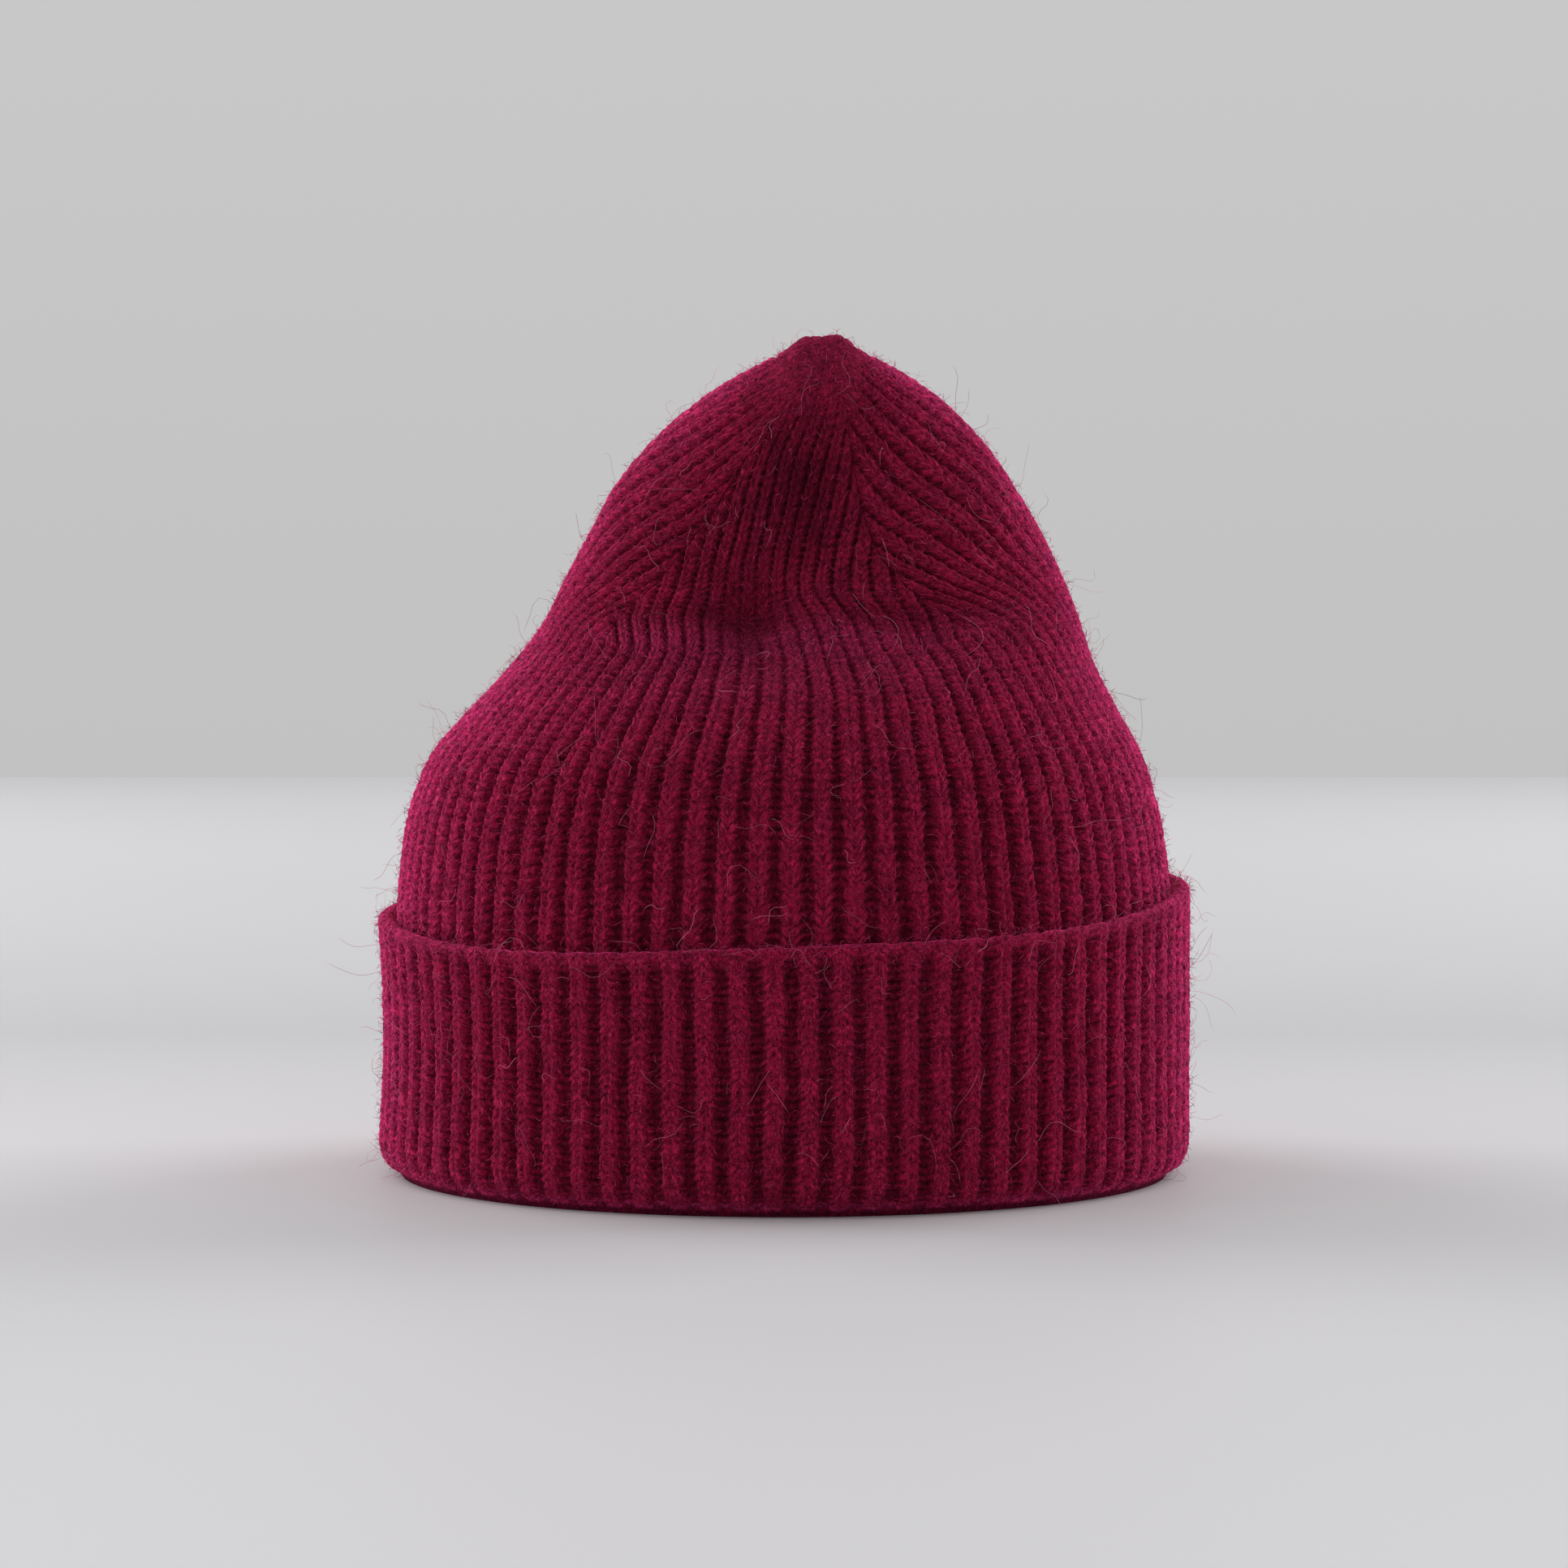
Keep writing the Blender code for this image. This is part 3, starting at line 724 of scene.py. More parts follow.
def cuff_section(sizes, angle):
    """Section of the cuff at each angle, as rows from the flat ring up the outside and down inside.

    A row is its distance in from the outer face, its height, the turn of its normal from outward
    towards up, how full its ribs are, its place in courses and how much fuzz it has.
    """
    rim = rim_height(sizes, angle)
    fold_width = sizes.cuff_wall+sizes.layer_gap+sizes.crown_wall
    even = np.ones(angle.shape)
    rows = []

    def add(*values):
        rows.append([value*even for value in values])

    # Flat ring that the hat stands on, and the fold's outer round
    add(fold_width-INNER_ROUND, 0.0, -math.pi/2, 0.0, -7.5, 0.0)
    add(UNDERCUT_IN, 0.0, -math.pi/2, 0.0, -6.8, 0.0)
    add(UNDERCUT_IN-0.0004, UNDERCUT_HEIGHT/2, -math.pi/3, 0.0, -6.2, 0.0)
    for step in range(FOLD_STEPS):
        share = step/FOLD_STEPS
        turn = math.pi/2*(1-share)
        slope = math.atan2(math.sin(turn)/FOLD_HEIGHT, math.cos(turn)/FOLD_ROUND)
        height = UNDERCUT_HEIGHT+(FOLD_HEIGHT-UNDERCUT_HEIGHT)*(1-math.sin(turn))
        add(FOLD_ROUND*(1-math.cos(turn)), height, -slope, 0.45+0.55*step/FOLD_STEPS,
            -FOLD_COURSES*(1-share), 0.4+0.6*step/FOLD_STEPS)

    # Band, with its waist at the left, up to the foot of the rim, where the ribs flatten
    for step in range(CUFF_COURSES*CUFF_FINENESS):
        share = step/(CUFF_COURSES*CUFF_FINENESS)
        waist = CUFF_WAIST*math.sin(math.pi*share)*(1-np.sin(angle))/2
        height = FOLD_HEIGHT+(rim-RIM_ROUND-FOLD_HEIGHT)*share
        fullness = 1.0-0.70*smooth_step((height-(rim-0.0050))/0.0034)
        add(waist, height, 0.0, fullness, CUFF_COURSES*share, 1.0)

    # Rounded rim
    for step in range(RIM_STEPS+1):
        turn = math.pi*step/RIM_STEPS
        add(sizes.cuff_wall/2*(1-math.cos(turn))-0.0003*math.sin(turn), rim-RIM_ROUND*(1-math.sin(turn)),
            turn, 0.30*(1-step/RIM_STEPS), CUFF_COURSES+0.35*step, 3.0-2.2*step/RIM_STEPS)

    # Back of the band, seat and inner face with its round
    for share in (0.92, 0.75, 0.5, 0.25, 0.0):
        add(sizes.cuff_wall, FOLD_HEIGHT+(rim-FOLD_HEIGHT)*share, math.pi, 0.0, -9.0, 0.0)
    add(fold_width-0.0008, FOLD_HEIGHT, math.pi/2, 0.0, -9.0, 0.0)
    for step in range(INNER_STEPS+1):
        share = step/INNER_STEPS
        inward = fold_width-INNER_ROUND*max(0.0, (share-0.6)/0.4)**2.2*0.9
        add(inward, FOLD_HEIGHT*(1-share)+0.0004*share, math.pi+math.pi/3*max(0.0, share-0.6)/0.4,
            0.42+0.5*share, -13.0+4*share, INNER_FUZZ)
    return np.moveaxis(np.array(rows), 1, 0)


def knit_cuff(sizes, half):
    """Closed shell of the front or back half of the cuff, cut in a furrow at each side.

    A column's section stands on the cuff's outer ellipse, and the knit's depth goes in from it
    against the section's own normal, but never below the table.
    """
    ribs = PANEL_RIBS*PANELS//2
    start = ribs*half-ribs/2-0.5
    columns = np.append((np.arange(ribs)[:, None]+np.array(CUFF_CUTS)).ravel(), ribs)+start
    flat = columns*2*math.pi/(PANEL_RIBS*PANELS)
    angle = ring_angle(flat, sizes.hat_width/2, sizes.hat_depth/2, 0.0, sizes.rib_turn)
    inward, height, turn, fullness, course, fuzz = cuff_section(sizes, angle)
    out = np.stack((np.sin(angle), -np.cos(angle)), axis=-1)

    def stand(inward, height):
        return np.stack(((sizes.hat_width/2-inward)*out[:, 0], (sizes.hat_depth/2-inward)*out[:, 1],
                         height), axis=-1)

    smooth = stand(inward, height)
    rows, count = height.shape
    phase = columns+0.5+MAP_START
    bend = 1.0-smooth_step(height/FOLD_SWAY_HEIGHT)
    swayed = rib_wander(smooth, phase+FOLD_SWAY*bend*np.sin(3*flat))
    phase = np.where(turn < OUTER_TURN, swayed, phase)
    phase[:, 0] = phase[:, 0].round()
    phase[:, -1] = phase[:, -1].round()
    depth, furrow = knit_depth(sizes, smooth, phase, course, -STITCH_SLANT, fullness, np.ones(count),
                               CUFF_STITCHING, CUFF_SEED)
    depth = np.where(fullness > 0, depth, 0.0)
    # Painted shade: the flat ring and the undercut underneath take the full furrow colour, other unribbed
    # rows none
    furrow = np.where((fullness > 0) | (turn > 0), furrow*np.minimum(fullness*CUFF_SHADE_GAIN, 1.0), 1.0)
    points = stand(inward+depth*np.cos(turn), np.maximum(height-depth*np.sin(turn), 0.0))
    outward = np.stack((np.cos(turn)*out[:, 0], np.cos(turn)*out[:, 1], np.sin(turn)), axis=-1)

    index = np.arange(rows*count).reshape(rows, count)
    loop = np.concatenate((index, index[:1]))
    crest = int(height[:, 0].argmax())
    faces = [grid_faces(loop)]
    places = np.concatenate((height[:, 0], height[:1, 0]))
    up = np.maximum.accumulate(places[:crest+1])
    down = np.maximum.accumulate(places[crest:][::-1])
    faces.append(zip_faces(loop[:crest+1, 0], loop[crest:, 0][::-1], up, down))
    faces.append(zip_faces(loop[:crest+1, -1], loop[crest:, -1][::-1], up, down)[:, ::-1])
    return {
        "points": points.reshape(-1, 3),
        "faces": whole_faces(np.concatenate(faces)),
        "knit": np.stack((phase, course), axis=-1).reshape(-1, 2),
        "outward": outward.reshape(-1, 3),
        "furrow": furrow.ravel(),
        "fuzz": (fuzz*(1.0-FURROW_BALDNESS*furrow*(fullness > 0.5))).ravel(),
        "smooth_faces": len(faces[0]),
    }


def clear(blocks, name):
    """Removes the data-block of this name, if there is one."""
    old = blocks.get(name)
    if old:
        blocks.remove(old)


def make_piece(name, cloth, material, node=None):
    """Builds one piece from its arrays, shades its knit smooth and ties it to the hat."""
    clear(bpy.data.objects, name)
    mesh = bpy.data.meshes.new(name)
    faces = cloth["faces"]
    mesh.from_pydata(cloth["points"], [], faces)
    smooth = np.arange(len(faces)) < cloth.get("smooth_faces", len(faces))
    mesh.polygons.foreach_set("use_smooth", smooth)
    if "knit" in cloth:
        layer = mesh.uv_layers.new(name="knit")
        layer.data.foreach_set("uv", cloth["knit"][faces.ravel()].ravel())
    for key in ("furrow", "fuzz", "tone"):
        if key in cloth:
            mesh.attributes.new(key, "FLOAT", "POINT").data.foreach_set("value", cloth[key])
    if "outward" in cloth:
        layer = mesh.attributes.new("outward", "FLOAT_VECTOR", "POINT")
        layer.data.foreach_set("vector", cloth["outward"].ravel())
    mesh.materials.append(material)
    mesh.update()
    if mesh.validate():
        raise RuntimeError(name+" has broken faces")
    piece = bpy.data.objects.new(name, mesh)
    bpy.context.scene.collection.objects.link(piece)
    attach(piece, "root")
    if node:
        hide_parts(node)
    return piece


def strand_mesh(path, radius, tone):
    """Strands with three sides that taper to a point at both ends.

    path is (strands, points, 3). Every inner point carries a triangle of the given radius, square
    to the strand there.
    """
    strands, count, _ = path.shape
    rings = count-2
    rng = np.random.default_rng(STRAND_SEED)
    tangent = path[:, 2:]-path[:, :-2]
    tangent = tangent/np.linalg.norm(tangent, axis=-1, keepdims=True)
    other = rng.normal(size=(strands, 1, 3))
    side = np.cross(tangent, other)
    side = side/np.linalg.norm(side, axis=-1, keepdims=True)
    third = np.cross(tangent, side)
    turn = np.arange(3)*2*math.pi/3
    offset = (side[:, :, None]*np.cos(turn)[:, None]+third[:, :, None]*np.sin(turn)[:, None])
    ring = path[:, 1:-1, None]+offset*radius[:, :, None, None]
    points = np.concatenate((path[:, :1], ring.reshape(strands, rings*3, 3), path[:, -1:]), axis=1)
    local = []
    for k in range(3):
        n = (k+1) % 3
        local.append((0, 1+n, 1+k))
        for r in range(rings-1):
            a, b = 1+3*r, 4+3*r
            local += [(a+k, a+n, b+n), (a+k, b+n, b+k)]
        last = 1+3*(rings-1)
        local.append((last+k, last+n, 3*rings+1))
    local = np.array(local)
    faces = (np.arange(strands)[:, None, None]*points.shape[1]+local).reshape(-1, 3)
    return {"points": points.reshape(-1, 3), "faces": faces,
            "tone": np.repeat(tone, points.shape[1])}


def scatter(pieces, count, rng):
    """Random roots on the pieces' faces, in step with area and the fuzz value. Also normals."""
    corners, weights = [], []
    for piece in pieces:
        mesh = piece.data
        points = np.empty(len(mesh.vertices)*3, np.float32)
        mesh.vertices.foreach_get("co", points)
        faces = np.empty(len(mesh.loops), np.int32)
        mesh.loops.foreach_get("vertex_index", faces)
        fuzz = np.empty(len(mesh.vertices), np.float32)
        mesh.attributes["fuzz"].data.foreach_get("value", fuzz)
        faces = faces.reshape(-1, 3)
        corner = points.reshape(-1, 3).astype(float)[faces]
        cross = np.cross(corner[:, 1]-corner[:, 0], corner[:, 2]-corner[:, 0])
        corners.append(corner)
        weights.append(np.linalg.norm(cross, axis=-1)*fuzz[faces].mean(axis=-1))
    corners, weights = np.concatenate(corners), np.concatenate(weights)
    total = np.cumsum(weights)
    chosen = np.searchsorted(total, rng.uniform(0.0, total[-1], count))
    a, b = rng.uniform(size=(2, count, 1))
    flip = a+b > 1
    a, b = np.where(flip, 1-a, a), np.where(flip, 1-b, b)
    corner = corners[chosen]
    roots = corner[:, 0]+a*(corner[:, 1]-corner[:, 0])+b*(corner[:, 2]-corner[:, 0])
    normal = np.cross(corner[:, 1]-corner[:, 0], corner[:, 2]-corner[:, 0])
    return roots, normal/np.linalg.norm(normal, axis=-1, keepdims=True)


def grow(roots, normals, length, steps, lift, curl, wave, rng):
    """Paths of fibres that lie along the cloth, leave it by their lift and curl as they go.

    The heading turns by curl*t plus a wave, and the rise is lift at the root and falls off.
    """
    count = len(roots)
    heading = rng.normal(size=(count, 3))
    heading -= normals*np.sum(heading*normals, axis=-1, keepdims=True)
    heading /= np.linalg.norm(heading, axis=-1, keepdims=True)
    side = np.cross(normals, heading)
    t = (np.arange(steps)+0.5)/steps
    angle = curl[:, None]*t+wave[:, None]*np.sin(2*math.pi*(t*1.3+rng.uniform(size=(count, 1))))
    rise = lift[:, None]*(1.0-1.1*t)
    step = (np.cos(angle)[..., None]*heading[:, None]+np.sin(angle)[..., None]*side[:, None]
            + rise[..., None]*normals[:, None])
    step *= (length[:, None]/steps)[..., None]/np.linalg.norm(step, axis=-1, keepdims=True)
    start = roots-normals*ROOT_DEPTH
    path = np.concatenate((start[:, None], start[:, None]+np.cumsum(step, axis=1)), axis=1)
    path[..., 2] = np.maximum(path[..., 2], LOWEST_FIBRE)
    return path


def fill_inputs(tree, node, values):
    """Fills a node's inputs, and links those whose value is another node's output."""
    for key, value in values.items():
        if isinstance(value, bpy.types.NodeSocket):
            tree.links.new(value, node.inputs[key])
        else:
            node.inputs[key].default_value = value


def add_node(tree, kind, values=None, **settings):
    """Adds a node, sets its fields, and fills or links its inputs."""
    node = tree.nodes.new(kind)
    for key, value in settings.items():
        setattr(node, key, value)
    fill_inputs(tree, node, values or {})
    return node


def maths(tree, operation, *values, clamp=False):
    """Output of a Math node with these inputs."""
    return add_node(tree, "ShaderNodeMath", dict(enumerate(values)), operation=operation,
                    use_clamp=clamp).outputs[0]


def times(tree, first, second, clamp=False):
    """Product of two values."""
    return maths(tree, "MULTIPLY", first, second, clamp=clamp)


def blend(tree, factor, first, second, kind="MIX"):
    """Output of a colour Mix node."""
    return add_node(tree, "ShaderNodeMix", {0: factor, 6: first, 7: second}, data_type="RGBA",
                    blend_type=kind).outputs[2]


def new_group(name, inputs, outputs):
    """Empty shader node group with these sockets, and its two end nodes."""
    clear(bpy.data.node_groups, name)
    tree = bpy.data.node_groups.new(name, "ShaderNodeTree")
    for label, kind, value in inputs:
        socket = tree.interface.new_socket(name=label, in_out="INPUT", socket_type=kind)
        if value is not None:
            socket.default_value = value
    for label, kind in outputs:
        tree.interface.new_socket(name=label, in_out="OUTPUT", socket_type=kind)
    return tree, tree.nodes.new("NodeGroupInput"), tree.nodes.new("NodeGroupOutput")


def strand_group():
    """Legs of the stitches, from the knit map.

    Height is 1 on a stitch's leg and 0 between legs. Streak is noise drawn out along the leg,
    which leans from upright by Lean radians towards the outside of the rib.
    """
    tree, start, end = new_group("stitch_strands", (
        ("Knit", "NodeSocketVector", None), ("Slant", "NodeSocketFloat", STITCH_SLANT),
        ("Lean", "NodeSocketFloat", 0.6)),
        (("Height", "NodeSocketFloat"), ("Streak", "NodeSocketFloat")))
    place = add_node(tree, "ShaderNodeSeparateXYZ", {0: start.outputs["Knit"]})
    far = maths(tree, "ABSOLUTE", maths(tree, "SUBTRACT", maths(tree, "FRACT", place.outputs[0]), 0.5))
    bent = maths(tree, "SUBTRACT", far, times(tree, far, far))
    climb = times(tree, bent, start.outputs["Slant"])
    phase = maths(tree, "SUBTRACT", place.outputs[1], climb)
    leg = maths(tree, "ABSOLUTE", maths(tree, "COSINE", times(tree, phase, math.pi)))
    split = maths(tree, "MULTIPLY_ADD", far, 12.0, 0.25, clamp=True)
    height = times(tree, maths(tree, "POWER", leg, 0.7), split)

    across_mm = times(tree, far, RIB_MM)
    along_mm = times(tree, place.outputs[1], COURSE_MM)
    sine = maths(tree, "SINE", start.outputs["Lean"])
    cosine = maths(tree, "COSINE", start.outputs["Lean"])
    across = maths(tree, "SUBTRACT", times(tree, across_mm, cosine), times(tree, along_mm, sine))
    along = maths(tree, "ADD", times(tree, across_mm, sine), times(tree, along_mm, cosine))
    number = maths(tree, "ROUND", times(tree, place.outputs[0], 2.0))
    drawn = add_node(tree, "ShaderNodeCombineXYZ", {
        0: across, 1: times(tree, along, STREAK_STRETCH), 2: times(tree, number, 5.3)})
    noise = add_node(tree, "ShaderNodeTexNoise", {
        "Vector": drawn.outputs[0], "Scale": 2.6, "Detail": 2.0, "Roughness": 0.6, "Distortion": 0.5})
    fill_inputs(tree, end, {"Height": height, "Streak": noise.outputs["Fac"]})
    return tree


def fibre_group():
    """Matted fibres, on Object coordinates: fine bright lines, grain, and slow uneven tone."""
    tree, start, end = new_group("wool_fibres", (
        ("Place", "NodeSocketVector", None), ("Fineness", "NodeSocketFloat", 1100.0)),
        (("Lines", "NodeSocketFloat"), ("Grain", "NodeSocketFloat"), ("Tone", "NodeSocketFloat")))
    place, fine = start.outputs["Place"], start.outputs["Fineness"]
    noise = add_node(tree, "ShaderNodeTexNoise", {
        "Vector": place, "Scale": fine, "Detail": 1.0, "Roughness": 0.6, "Distortion": 1.6})
    away = maths(tree, "ABSOLUTE", maths(tree, "SUBTRACT", noise.outputs["Fac"], 0.5))
    lines = maths(tree, "SUBTRACT", 1.0, times(tree, away, 12.0), clamp=True)
    grain = add_node(tree, "ShaderNodeTexNoise", {
        "Vector": place, "Scale": times(tree, fine, 0.85), "Detail": 1.5})
    tone = add_node(tree, "ShaderNodeTexNoise", {
        "Vector": place, "Scale": times(tree, fine, 0.12), "Detail": 2.0, "Roughness": 0.6})
    fill_inputs(tree, end, {
        "Lines": lines, "Grain": grain.outputs["Fac"], "Tone": tone.outputs["Fac"]})
    return tree


def with_alpha(colour):
    """Colour with full alpha."""
    return (*colour, 1.0)


def new_material(name):
    """Empty material with its node tree and shader."""
    clear(bpy.data.materials, name)
    material = bpy.data.materials.new(name)
    material.use_nodes = True
    return material, material.node_tree, material.node_tree.nodes["Principled BSDF"]


def knit_wool(name, slant, lean, wool):
    """Brushed wool of the knit: heathered yarn, painted shade in the furrows and between stitches, paler
    fibres along the stitches that are partly a painted highlight, and painted sheen at the outline.
    """
    material, tree, shader = new_material(name)
    knit = add_node(tree, "ShaderNodeUVMap", uv_map="knit")
    place = add_node(tree, "ShaderNodeTexCoord")
    groups = bpy.data.node_groups
    strands = add_node(tree, "ShaderNodeGroup", node_tree=groups["stitch_strands"])
    fill_inputs(tree, strands, {"Knit": knit.outputs["UV"], "Slant": slant, "Lean": lean})
    height, streak = strands.outputs
    fibres = add_node(tree, "ShaderNodeGroup", node_tree=groups["wool_fibres"])
    fill_inputs(tree, fibres, {"Place": place.outputs["Object"]})
    lines, grain, tone = fibres.outputs
    furrow = add_node(tree, "ShaderNodeAttribute", attribute_name="furrow").outputs["Fac"]
    # Painted shade: the furrow value blends the yarn towards the darker furrow colour
    base = blend(tree, furrow, with_alpha(wool.wool_colour), with_alpha(wool.furrow_shade_colour))

    # Painted shade in the gaps between stitches, times the yarn's own streaks, slow heathering and fine
    # grain
    gap_shade, streaks, heather, grains = (
        maths(tree, "MULTIPLY_ADD", *shade) for shade in
        ((height, 0.42, 0.62), (streak, 3.2, -0.60), (tone, 1.1, 0.45), (grain, 2.8, -0.40)))
    shade = times(tree, times(tree, gap_shade, streaks), times(tree, heather, grains))
    base = blend(tree, 1.0, base, shade, "MULTIPLY")

    # Paler fine fibres on the crests, partly the yarn's own and partly a painted highlight where they
    # catch the light
    crest = maths(tree, "SUBTRACT", 1.0, times(tree, furrow, 0.8), clamp=True)
    strokes = maths(tree, "MULTIPLY_ADD", streak, 6.0, -3.4, clamp=True)
    bright = maths(tree, "ADD", times(tree, strokes, 0.55), times(tree, lines, 0.45))
    bloom_highlight = times(tree, bright, crest, clamp=True)
    base = blend(tree, bloom_highlight, base, with_alpha(wool.bloom_highlight_colour))

    # Painted sheen: the colour gets brighter and pinker towards the outline, as fuzz seen from the side
    # would
    outward = add_node(tree, "ShaderNodeAttribute", attribute_name="outward").outputs["Vector"]
    outward = add_node(tree, "ShaderNodeVectorTransform", {0: outward}, vector_type="NORMAL",
                       convert_from="OBJECT", convert_to="WORLD").outputs[0]
    facing = add_node(tree, "ShaderNodeLayerWeight", {"Blend": 0.5, "Normal": outward})
    edge = times(tree, maths(tree, "POWER", facing.outputs["Facing"], SHEEN_EDGE_POWER),
                 maths(tree, "MULTIPLY_ADD", crest, 0.6, 0.4))
    pale = blend(tree, edge, (1.0, 1.0, 1.0, 1.0), SHEEN_EDGE_TINT)
    base = blend(tree, 1.0, base, pale, "MULTIPLY")

    # Relief of the legs, the streaks, the grain and the fibres
    relief = maths(tree, "MULTIPLY_ADD", height, 0.8, grain)
    relief = maths(tree, "ADD", relief, times(tree, streak, 1.2))
    relief = maths(tree, "ADD", relief, times(tree, lines, 0.35))
    bump = add_node(tree, "ShaderNodeBump", {"Height": relief, "Strength": 1.0, "Distance": 0.00045})
    fill_inputs(tree, shader, {
        "Base Color": base, "Normal": bump.outputs["Normal"], "Roughness": 0.95,
        "Specular IOR Level": 0.02, "Sheen Weight": 0.20, "Sheen Roughness": 0.45,
        "Sheen Tint": (1.0, 0.12, 0.32, 1.0)})
    return material


def fibre_wool(name, colour):
    """Loose fibres: their tone runs from a deeper to a paler shade of the colour."""
    material, tree, shader = new_material(name)
    tone = add_node(tree, "ShaderNodeAttribute", attribute_name="tone")
    deep = tuple(value*0.45 for value in colour)
    pale = tuple(min(value*1.35+0.02, 1.0) for value in colour)
    fill_inputs(tree, shader, {
        "Base Color": blend(tree, tone.outputs["Fac"], with_alpha(deep), with_alpha(pale)),
        "Roughness": 0.8, "Specular IOR Level": 0.05, "Sheen Weight": 0.1, "Sheen Roughness": 0.5,
        "Sheen Tint": (1.0, 0.30, 0.45, 1.0)})
    return material


def make_groups():
    """The two node groups that all knitted pieces share."""
    strand_group()
    fibre_group()


class BEANIE_OT_crown(bpy.types.Operator):
    """Knit the four panels of the crown"""

    bl_idname = "beanie.crown"
    bl_label = "Knit Crown"

    def execute(self, context):
        sizes = context.scene.beanie_sizes
        make_groups()
        wool = knit_wool("crown_wool", STITCH_SLANT, 0.65, context.scene.beanie_wool)
        for panel, side in enumerate(("front", "right", "back", "left")):
            make_piece("crown_"+side, knit_panel(sizes, panel), wool, "crown")
        return {"FINISHED"}


class BEANIE_OT_cuff(bpy.types.Operator):
    """Knit the turned-up cuff as a front and a back half"""

    bl_idname = "beanie.cuff"
    bl_label = "Knit Cuff"

    def execute(self, context):
        sizes = context.scene.beanie_sizes
        if "stitch_strands" not in bpy.data.node_groups:
            raise RuntimeError("Knit the crown before the cuff")
        wool = knit_wool("cuff_wool", -STITCH_SLANT, -0.20, context.scene.beanie_wool)
        for half, side in enumerate(("front", "back")):
            make_piece("cuff_"+side, knit_cuff(sizes, half), wool, "cuff")
        return {"FINISHED"}


class BEANIE_OT_fuzz(bpy.types.Operator):
    """Brush the knit: short fuzz, curled hairs and long stray hairs"""

    bl_idname = "beanie.fuzz"
    bl_label = "Brush Fuzz"

    def execute(self, context):
        wool = context.scene.beanie_wool
        pieces = [item for item in context.scene.objects if item.name.startswith(("crown_", "cuff_"))]
        if not pieces:
            raise RuntimeError("Knit the crown and the cuff before the fuzz")
        rng = np.random.default_rng(FUZZ_SEED)
        looks = {"fuzz_wool": fibre_wool("fuzz_wool", wool.fuzz_colour),
                 "hair_wool": fibre_wool("hair_wool", wool.hair_colour)}
        for name, look, setting, length, steps, lift, curl, wave, radius in FIBRES:
            count = getattr(wool, setting)
            roots, normals = scatter(pieces, count, rng)
            lengths = rng.uniform(*length, count)
            lifts = rng.uniform(*lift, count)
            curls = rng.normal(0.0, curl, count)
            waves = rng.uniform(*wave, count) if wave else np.zeros(count)
            path = grow(roots, normals, lengths, steps, lifts, curls, waves, rng)
            radii = rng.uniform(*radius, (count, 1))*np.ones(steps-1)
            make_piece(name, strand_mesh(path, radii, rng.uniform(size=count)), looks[look])
        return {"FINISHED"}


def softbox(name, place, power, size, colour):
    """Square area light at a place, aimed at the middle of the hat."""
    clear(bpy.data.objects, name)
    data = bpy.data.lights.new(name, "AREA")
    data.energy = power
    data.size = size
    data.color = colour
    lamp = bpy.data.objects.new(name, data)
    lamp.location = place
    right, back, up = np.array(HAT_MIDDLE)-np.array(place)
    lamp.rotation_euler = (math.atan2(math.hypot(right, back), -up), 0.0, math.atan2(-right, back))
    lamp.visible_camera = False
    bpy.context.scene.collection.objects.link(lamp)


def stage_sheet(name, corners, material):
    """Flat sheet of the stage between four corners."""
    clear(bpy.data.objects, name)
    mesh = bpy.data.meshes.new(name)
    mesh.from_pydata(corners, [], [(0, 1, 2, 3)])
    mesh.materials.append(material)
    sheet = bpy.data.objects.new(name, mesh)
    bpy.context.scene.collection.objects.link(sheet)


def set_camera(scene):
    """Camera a little above the hat's middle, 1.7 m in front of it."""
    data = bpy.data.cameras.new("camera")
    data.lens = 180.2
    data.sensor_width = 36.0
    data.clip_start = 0.05
    data.clip_end = 30.0
    camera = bpy.data.objects.new("camera", data)
    camera.location = (0.0, -1.6907, 0.1777)
    camera.rotation_euler = (math.radians(86.82), 0.0, 0.0)
    scene.collection.objects.link(camera)
    scene.camera = camera


def set_world(scene, studio):
    """Even room light, which the camera sees as the backdrop's grey."""
    world = bpy.data.worlds.new("room")
    world.use_nodes = True
    tree = world.node_tree
    shown = tree.nodes["Background"]
    shown.inputs["Color"].default_value = with_alpha(studio.backdrop_colour)
    lit = add_node(tree, "ShaderNodeBackground", {"Color": (1.0, 1.0, 1.0, 1.0),
                                                  "Strength": studio.sky_light})
    ray = add_node(tree, "ShaderNodeLightPath")
    mix = add_node(tree, "ShaderNodeMixShader", {0: ray.outputs["Is Camera Ray"], 1: lit.outputs[0],
                                                 2: shown.outputs[0]})
    tree.links.new(mix.outputs[0], tree.nodes["World Output"].inputs["Surface"])
    scene.world = world


def table_top(studio):
    """Table's surface: slow mottle, and painted light and shade that change from front to back."""
    material, tree, shader = new_material("table_top")
    place = add_node(tree, "ShaderNodeTexCoord").outputs["Object"]
    mottle = add_node(tree, "ShaderNodeTexNoise", {"Vector": place, "Scale": 3.0})
    tint = blend(tree, times(tree, mottle.outputs["Fac"], 0.10), with_alpha(studio.table_colour),
                 with_alpha(tuple(0.85*value for value in studio.table_colour)))
    ahead = add_node(tree, "ShaderNodeSeparateXYZ", {0: place})
    share = add_node(tree, "ShaderNodeMapRange", {0: ahead.outputs[1], 1: -0.6, 2: 1.4})
    fade = add_node(tree, "ShaderNodeValToRGB", {0: share.outputs[0]})
    stops = fade.color_ramp.elements
    for ahead_share, level in TABLE_LIGHT_LEVELS:
        stop = stops.new(ahead_share)
        stop.color = (level, level, level, 1.0)
    stops.remove(stops[0])
    stops.remove(stops[-1])
    tint = blend(tree, 1.0, tint, fade.outputs[0], "MULTIPLY")
    fill_inputs(tree, shader, {"Base Color": tint, "Roughness": 0.55, "Specular IOR Level": 0.25})
    return material


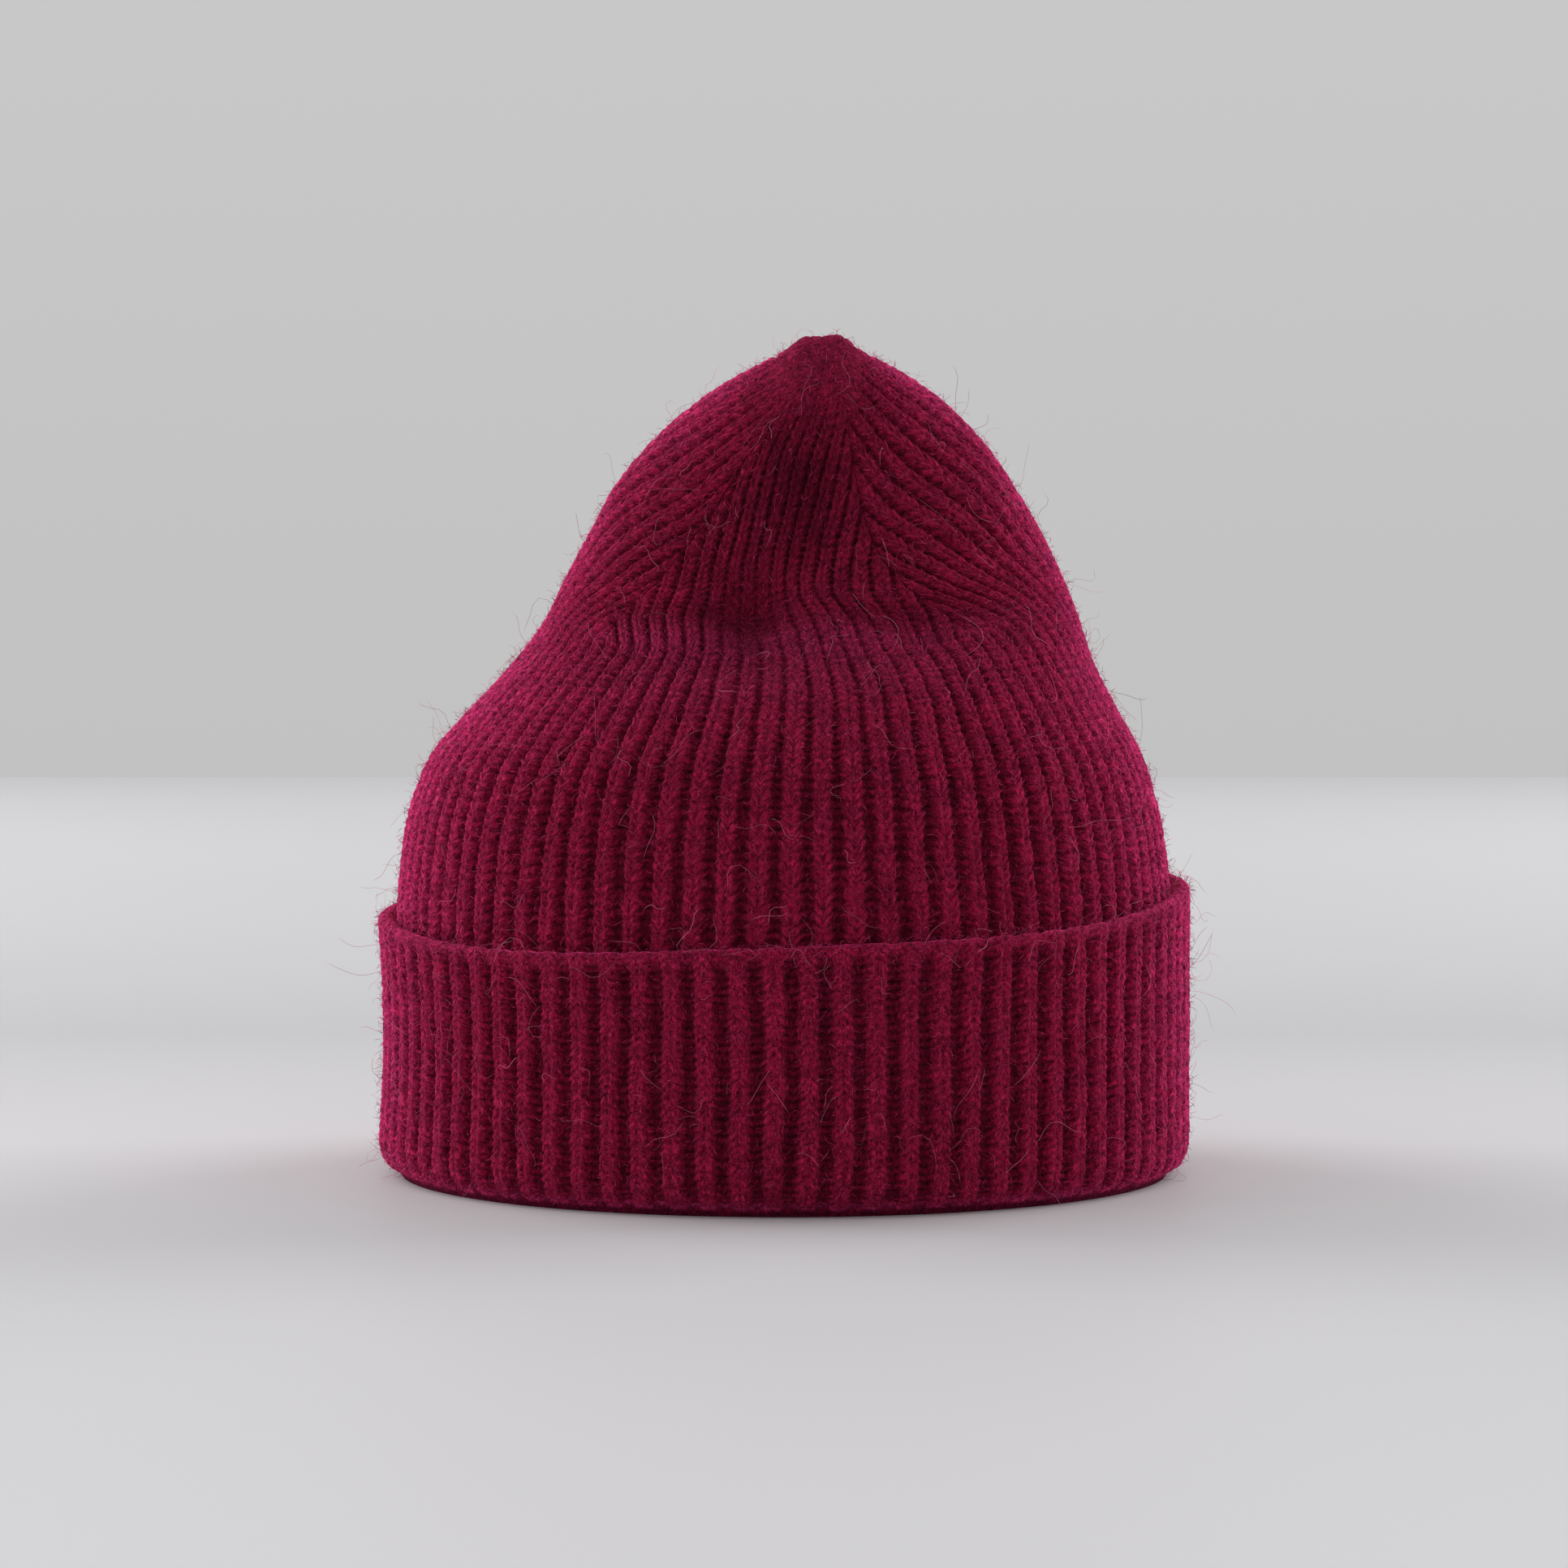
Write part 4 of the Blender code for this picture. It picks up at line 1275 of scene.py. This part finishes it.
def backdrop_paper(studio):
    """Backdrop that glows by itself, with painted shade a little darker towards its foot."""
    material, tree, shader = new_material("backdrop_paper")
    place = add_node(tree, "ShaderNodeTexCoord").outputs["Object"]
    height = add_node(tree, "ShaderNodeSeparateXYZ", {0: place})
    fade = add_node(tree, "ShaderNodeMapRange", {0: height.outputs[2], 1: -0.1, 2: 0.35, 3: 0.93, 4: 1.0})
    tint = blend(tree, 1.0, with_alpha(studio.backdrop_colour), fade.outputs[0], "MULTIPLY")
    fill_inputs(tree, shader, {
        "Emission Color": tint, "Emission Strength": 1.0, "Base Color": (0.0, 0.0, 0.0, 1.0),
        "Specular IOR Level": 0.0, "Roughness": 1.0})
    return material


class BEANIE_OT_stage(bpy.types.Operator):
    """Lay out the table, the backdrop, the lights and the camera"""

    bl_idname = "beanie.stage"
    bl_label = "Set Stage"

    def execute(self, context):
        scene = context.scene
        studio = scene.beanie_studio
        half, near, far = STAGE_HALF, TABLE_NEAR, TABLE_FAR
        stage_sheet("table", [(-half, near, 0.0), (half, near, 0.0), (half, far, 0.0), (-half, far, 0.0)],
                    table_top(studio))
        behind, low, high = BACKDROP_BEHIND, BACKDROP_LOW, BACKDROP_HIGH
        stage_sheet("backdrop", [(-half, behind, low), (half, behind, low), (half, behind, high),
                                 (-half, behind, high)], backdrop_paper(studio))
        for name, place, setting, share, size, colour in SOFTBOXES:
            softbox(name, place, share*getattr(studio, setting), size, colour)
        set_world(scene, studio)
        set_camera(scene)
        scene.view_settings.view_transform = "Standard"
        return {"FINISHED"}


class BEANIE_PT_sidebar(bpy.types.Panel):
    """Sidebar with the hat's sizes and its steps"""

    bl_idname = "BEANIE_PT_sidebar"
    bl_label = "Beanie"
    bl_space_type = "VIEW_3D"
    bl_region_type = "UI"
    bl_category = "Beanie"

    def draw(self, context):
        scene = context.scene
        for group in (scene.beanie_sizes, scene.beanie_wool, scene.beanie_studio):
            box = self.layout.box()
            for key in type(group).__annotations__:
                box.prop(group, key)
        for operator in OPERATORS:
            self.layout.operator(operator.bl_idname)


OPERATORS = (BEANIE_OT_crown, BEANIE_OT_cuff, BEANIE_OT_fuzz, BEANIE_OT_stage)
CLASSES = (BeanieSizes, BeanieWool, BeanieStudio, *OPERATORS, BEANIE_PT_sidebar)


def register():
    for item in CLASSES:
        bpy.utils.register_class(item)
    bpy.types.Scene.beanie_sizes = bpy.props.PointerProperty(type=BeanieSizes)
    bpy.types.Scene.beanie_wool = bpy.props.PointerProperty(type=BeanieWool)
    bpy.types.Scene.beanie_studio = bpy.props.PointerProperty(type=BeanieStudio)


def unregister():
    del bpy.types.Scene.beanie_studio
    del bpy.types.Scene.beanie_wool
    del bpy.types.Scene.beanie_sizes
    for item in reversed(CLASSES):
        bpy.utils.unregister_class(item)


def main():
    register()
    bpy.ops.beanie.crown()
    bpy.ops.beanie.cuff()
    bpy.ops.beanie.fuzz()
    bpy.ops.beanie.stage()


if __name__ == "__main__":
    main()
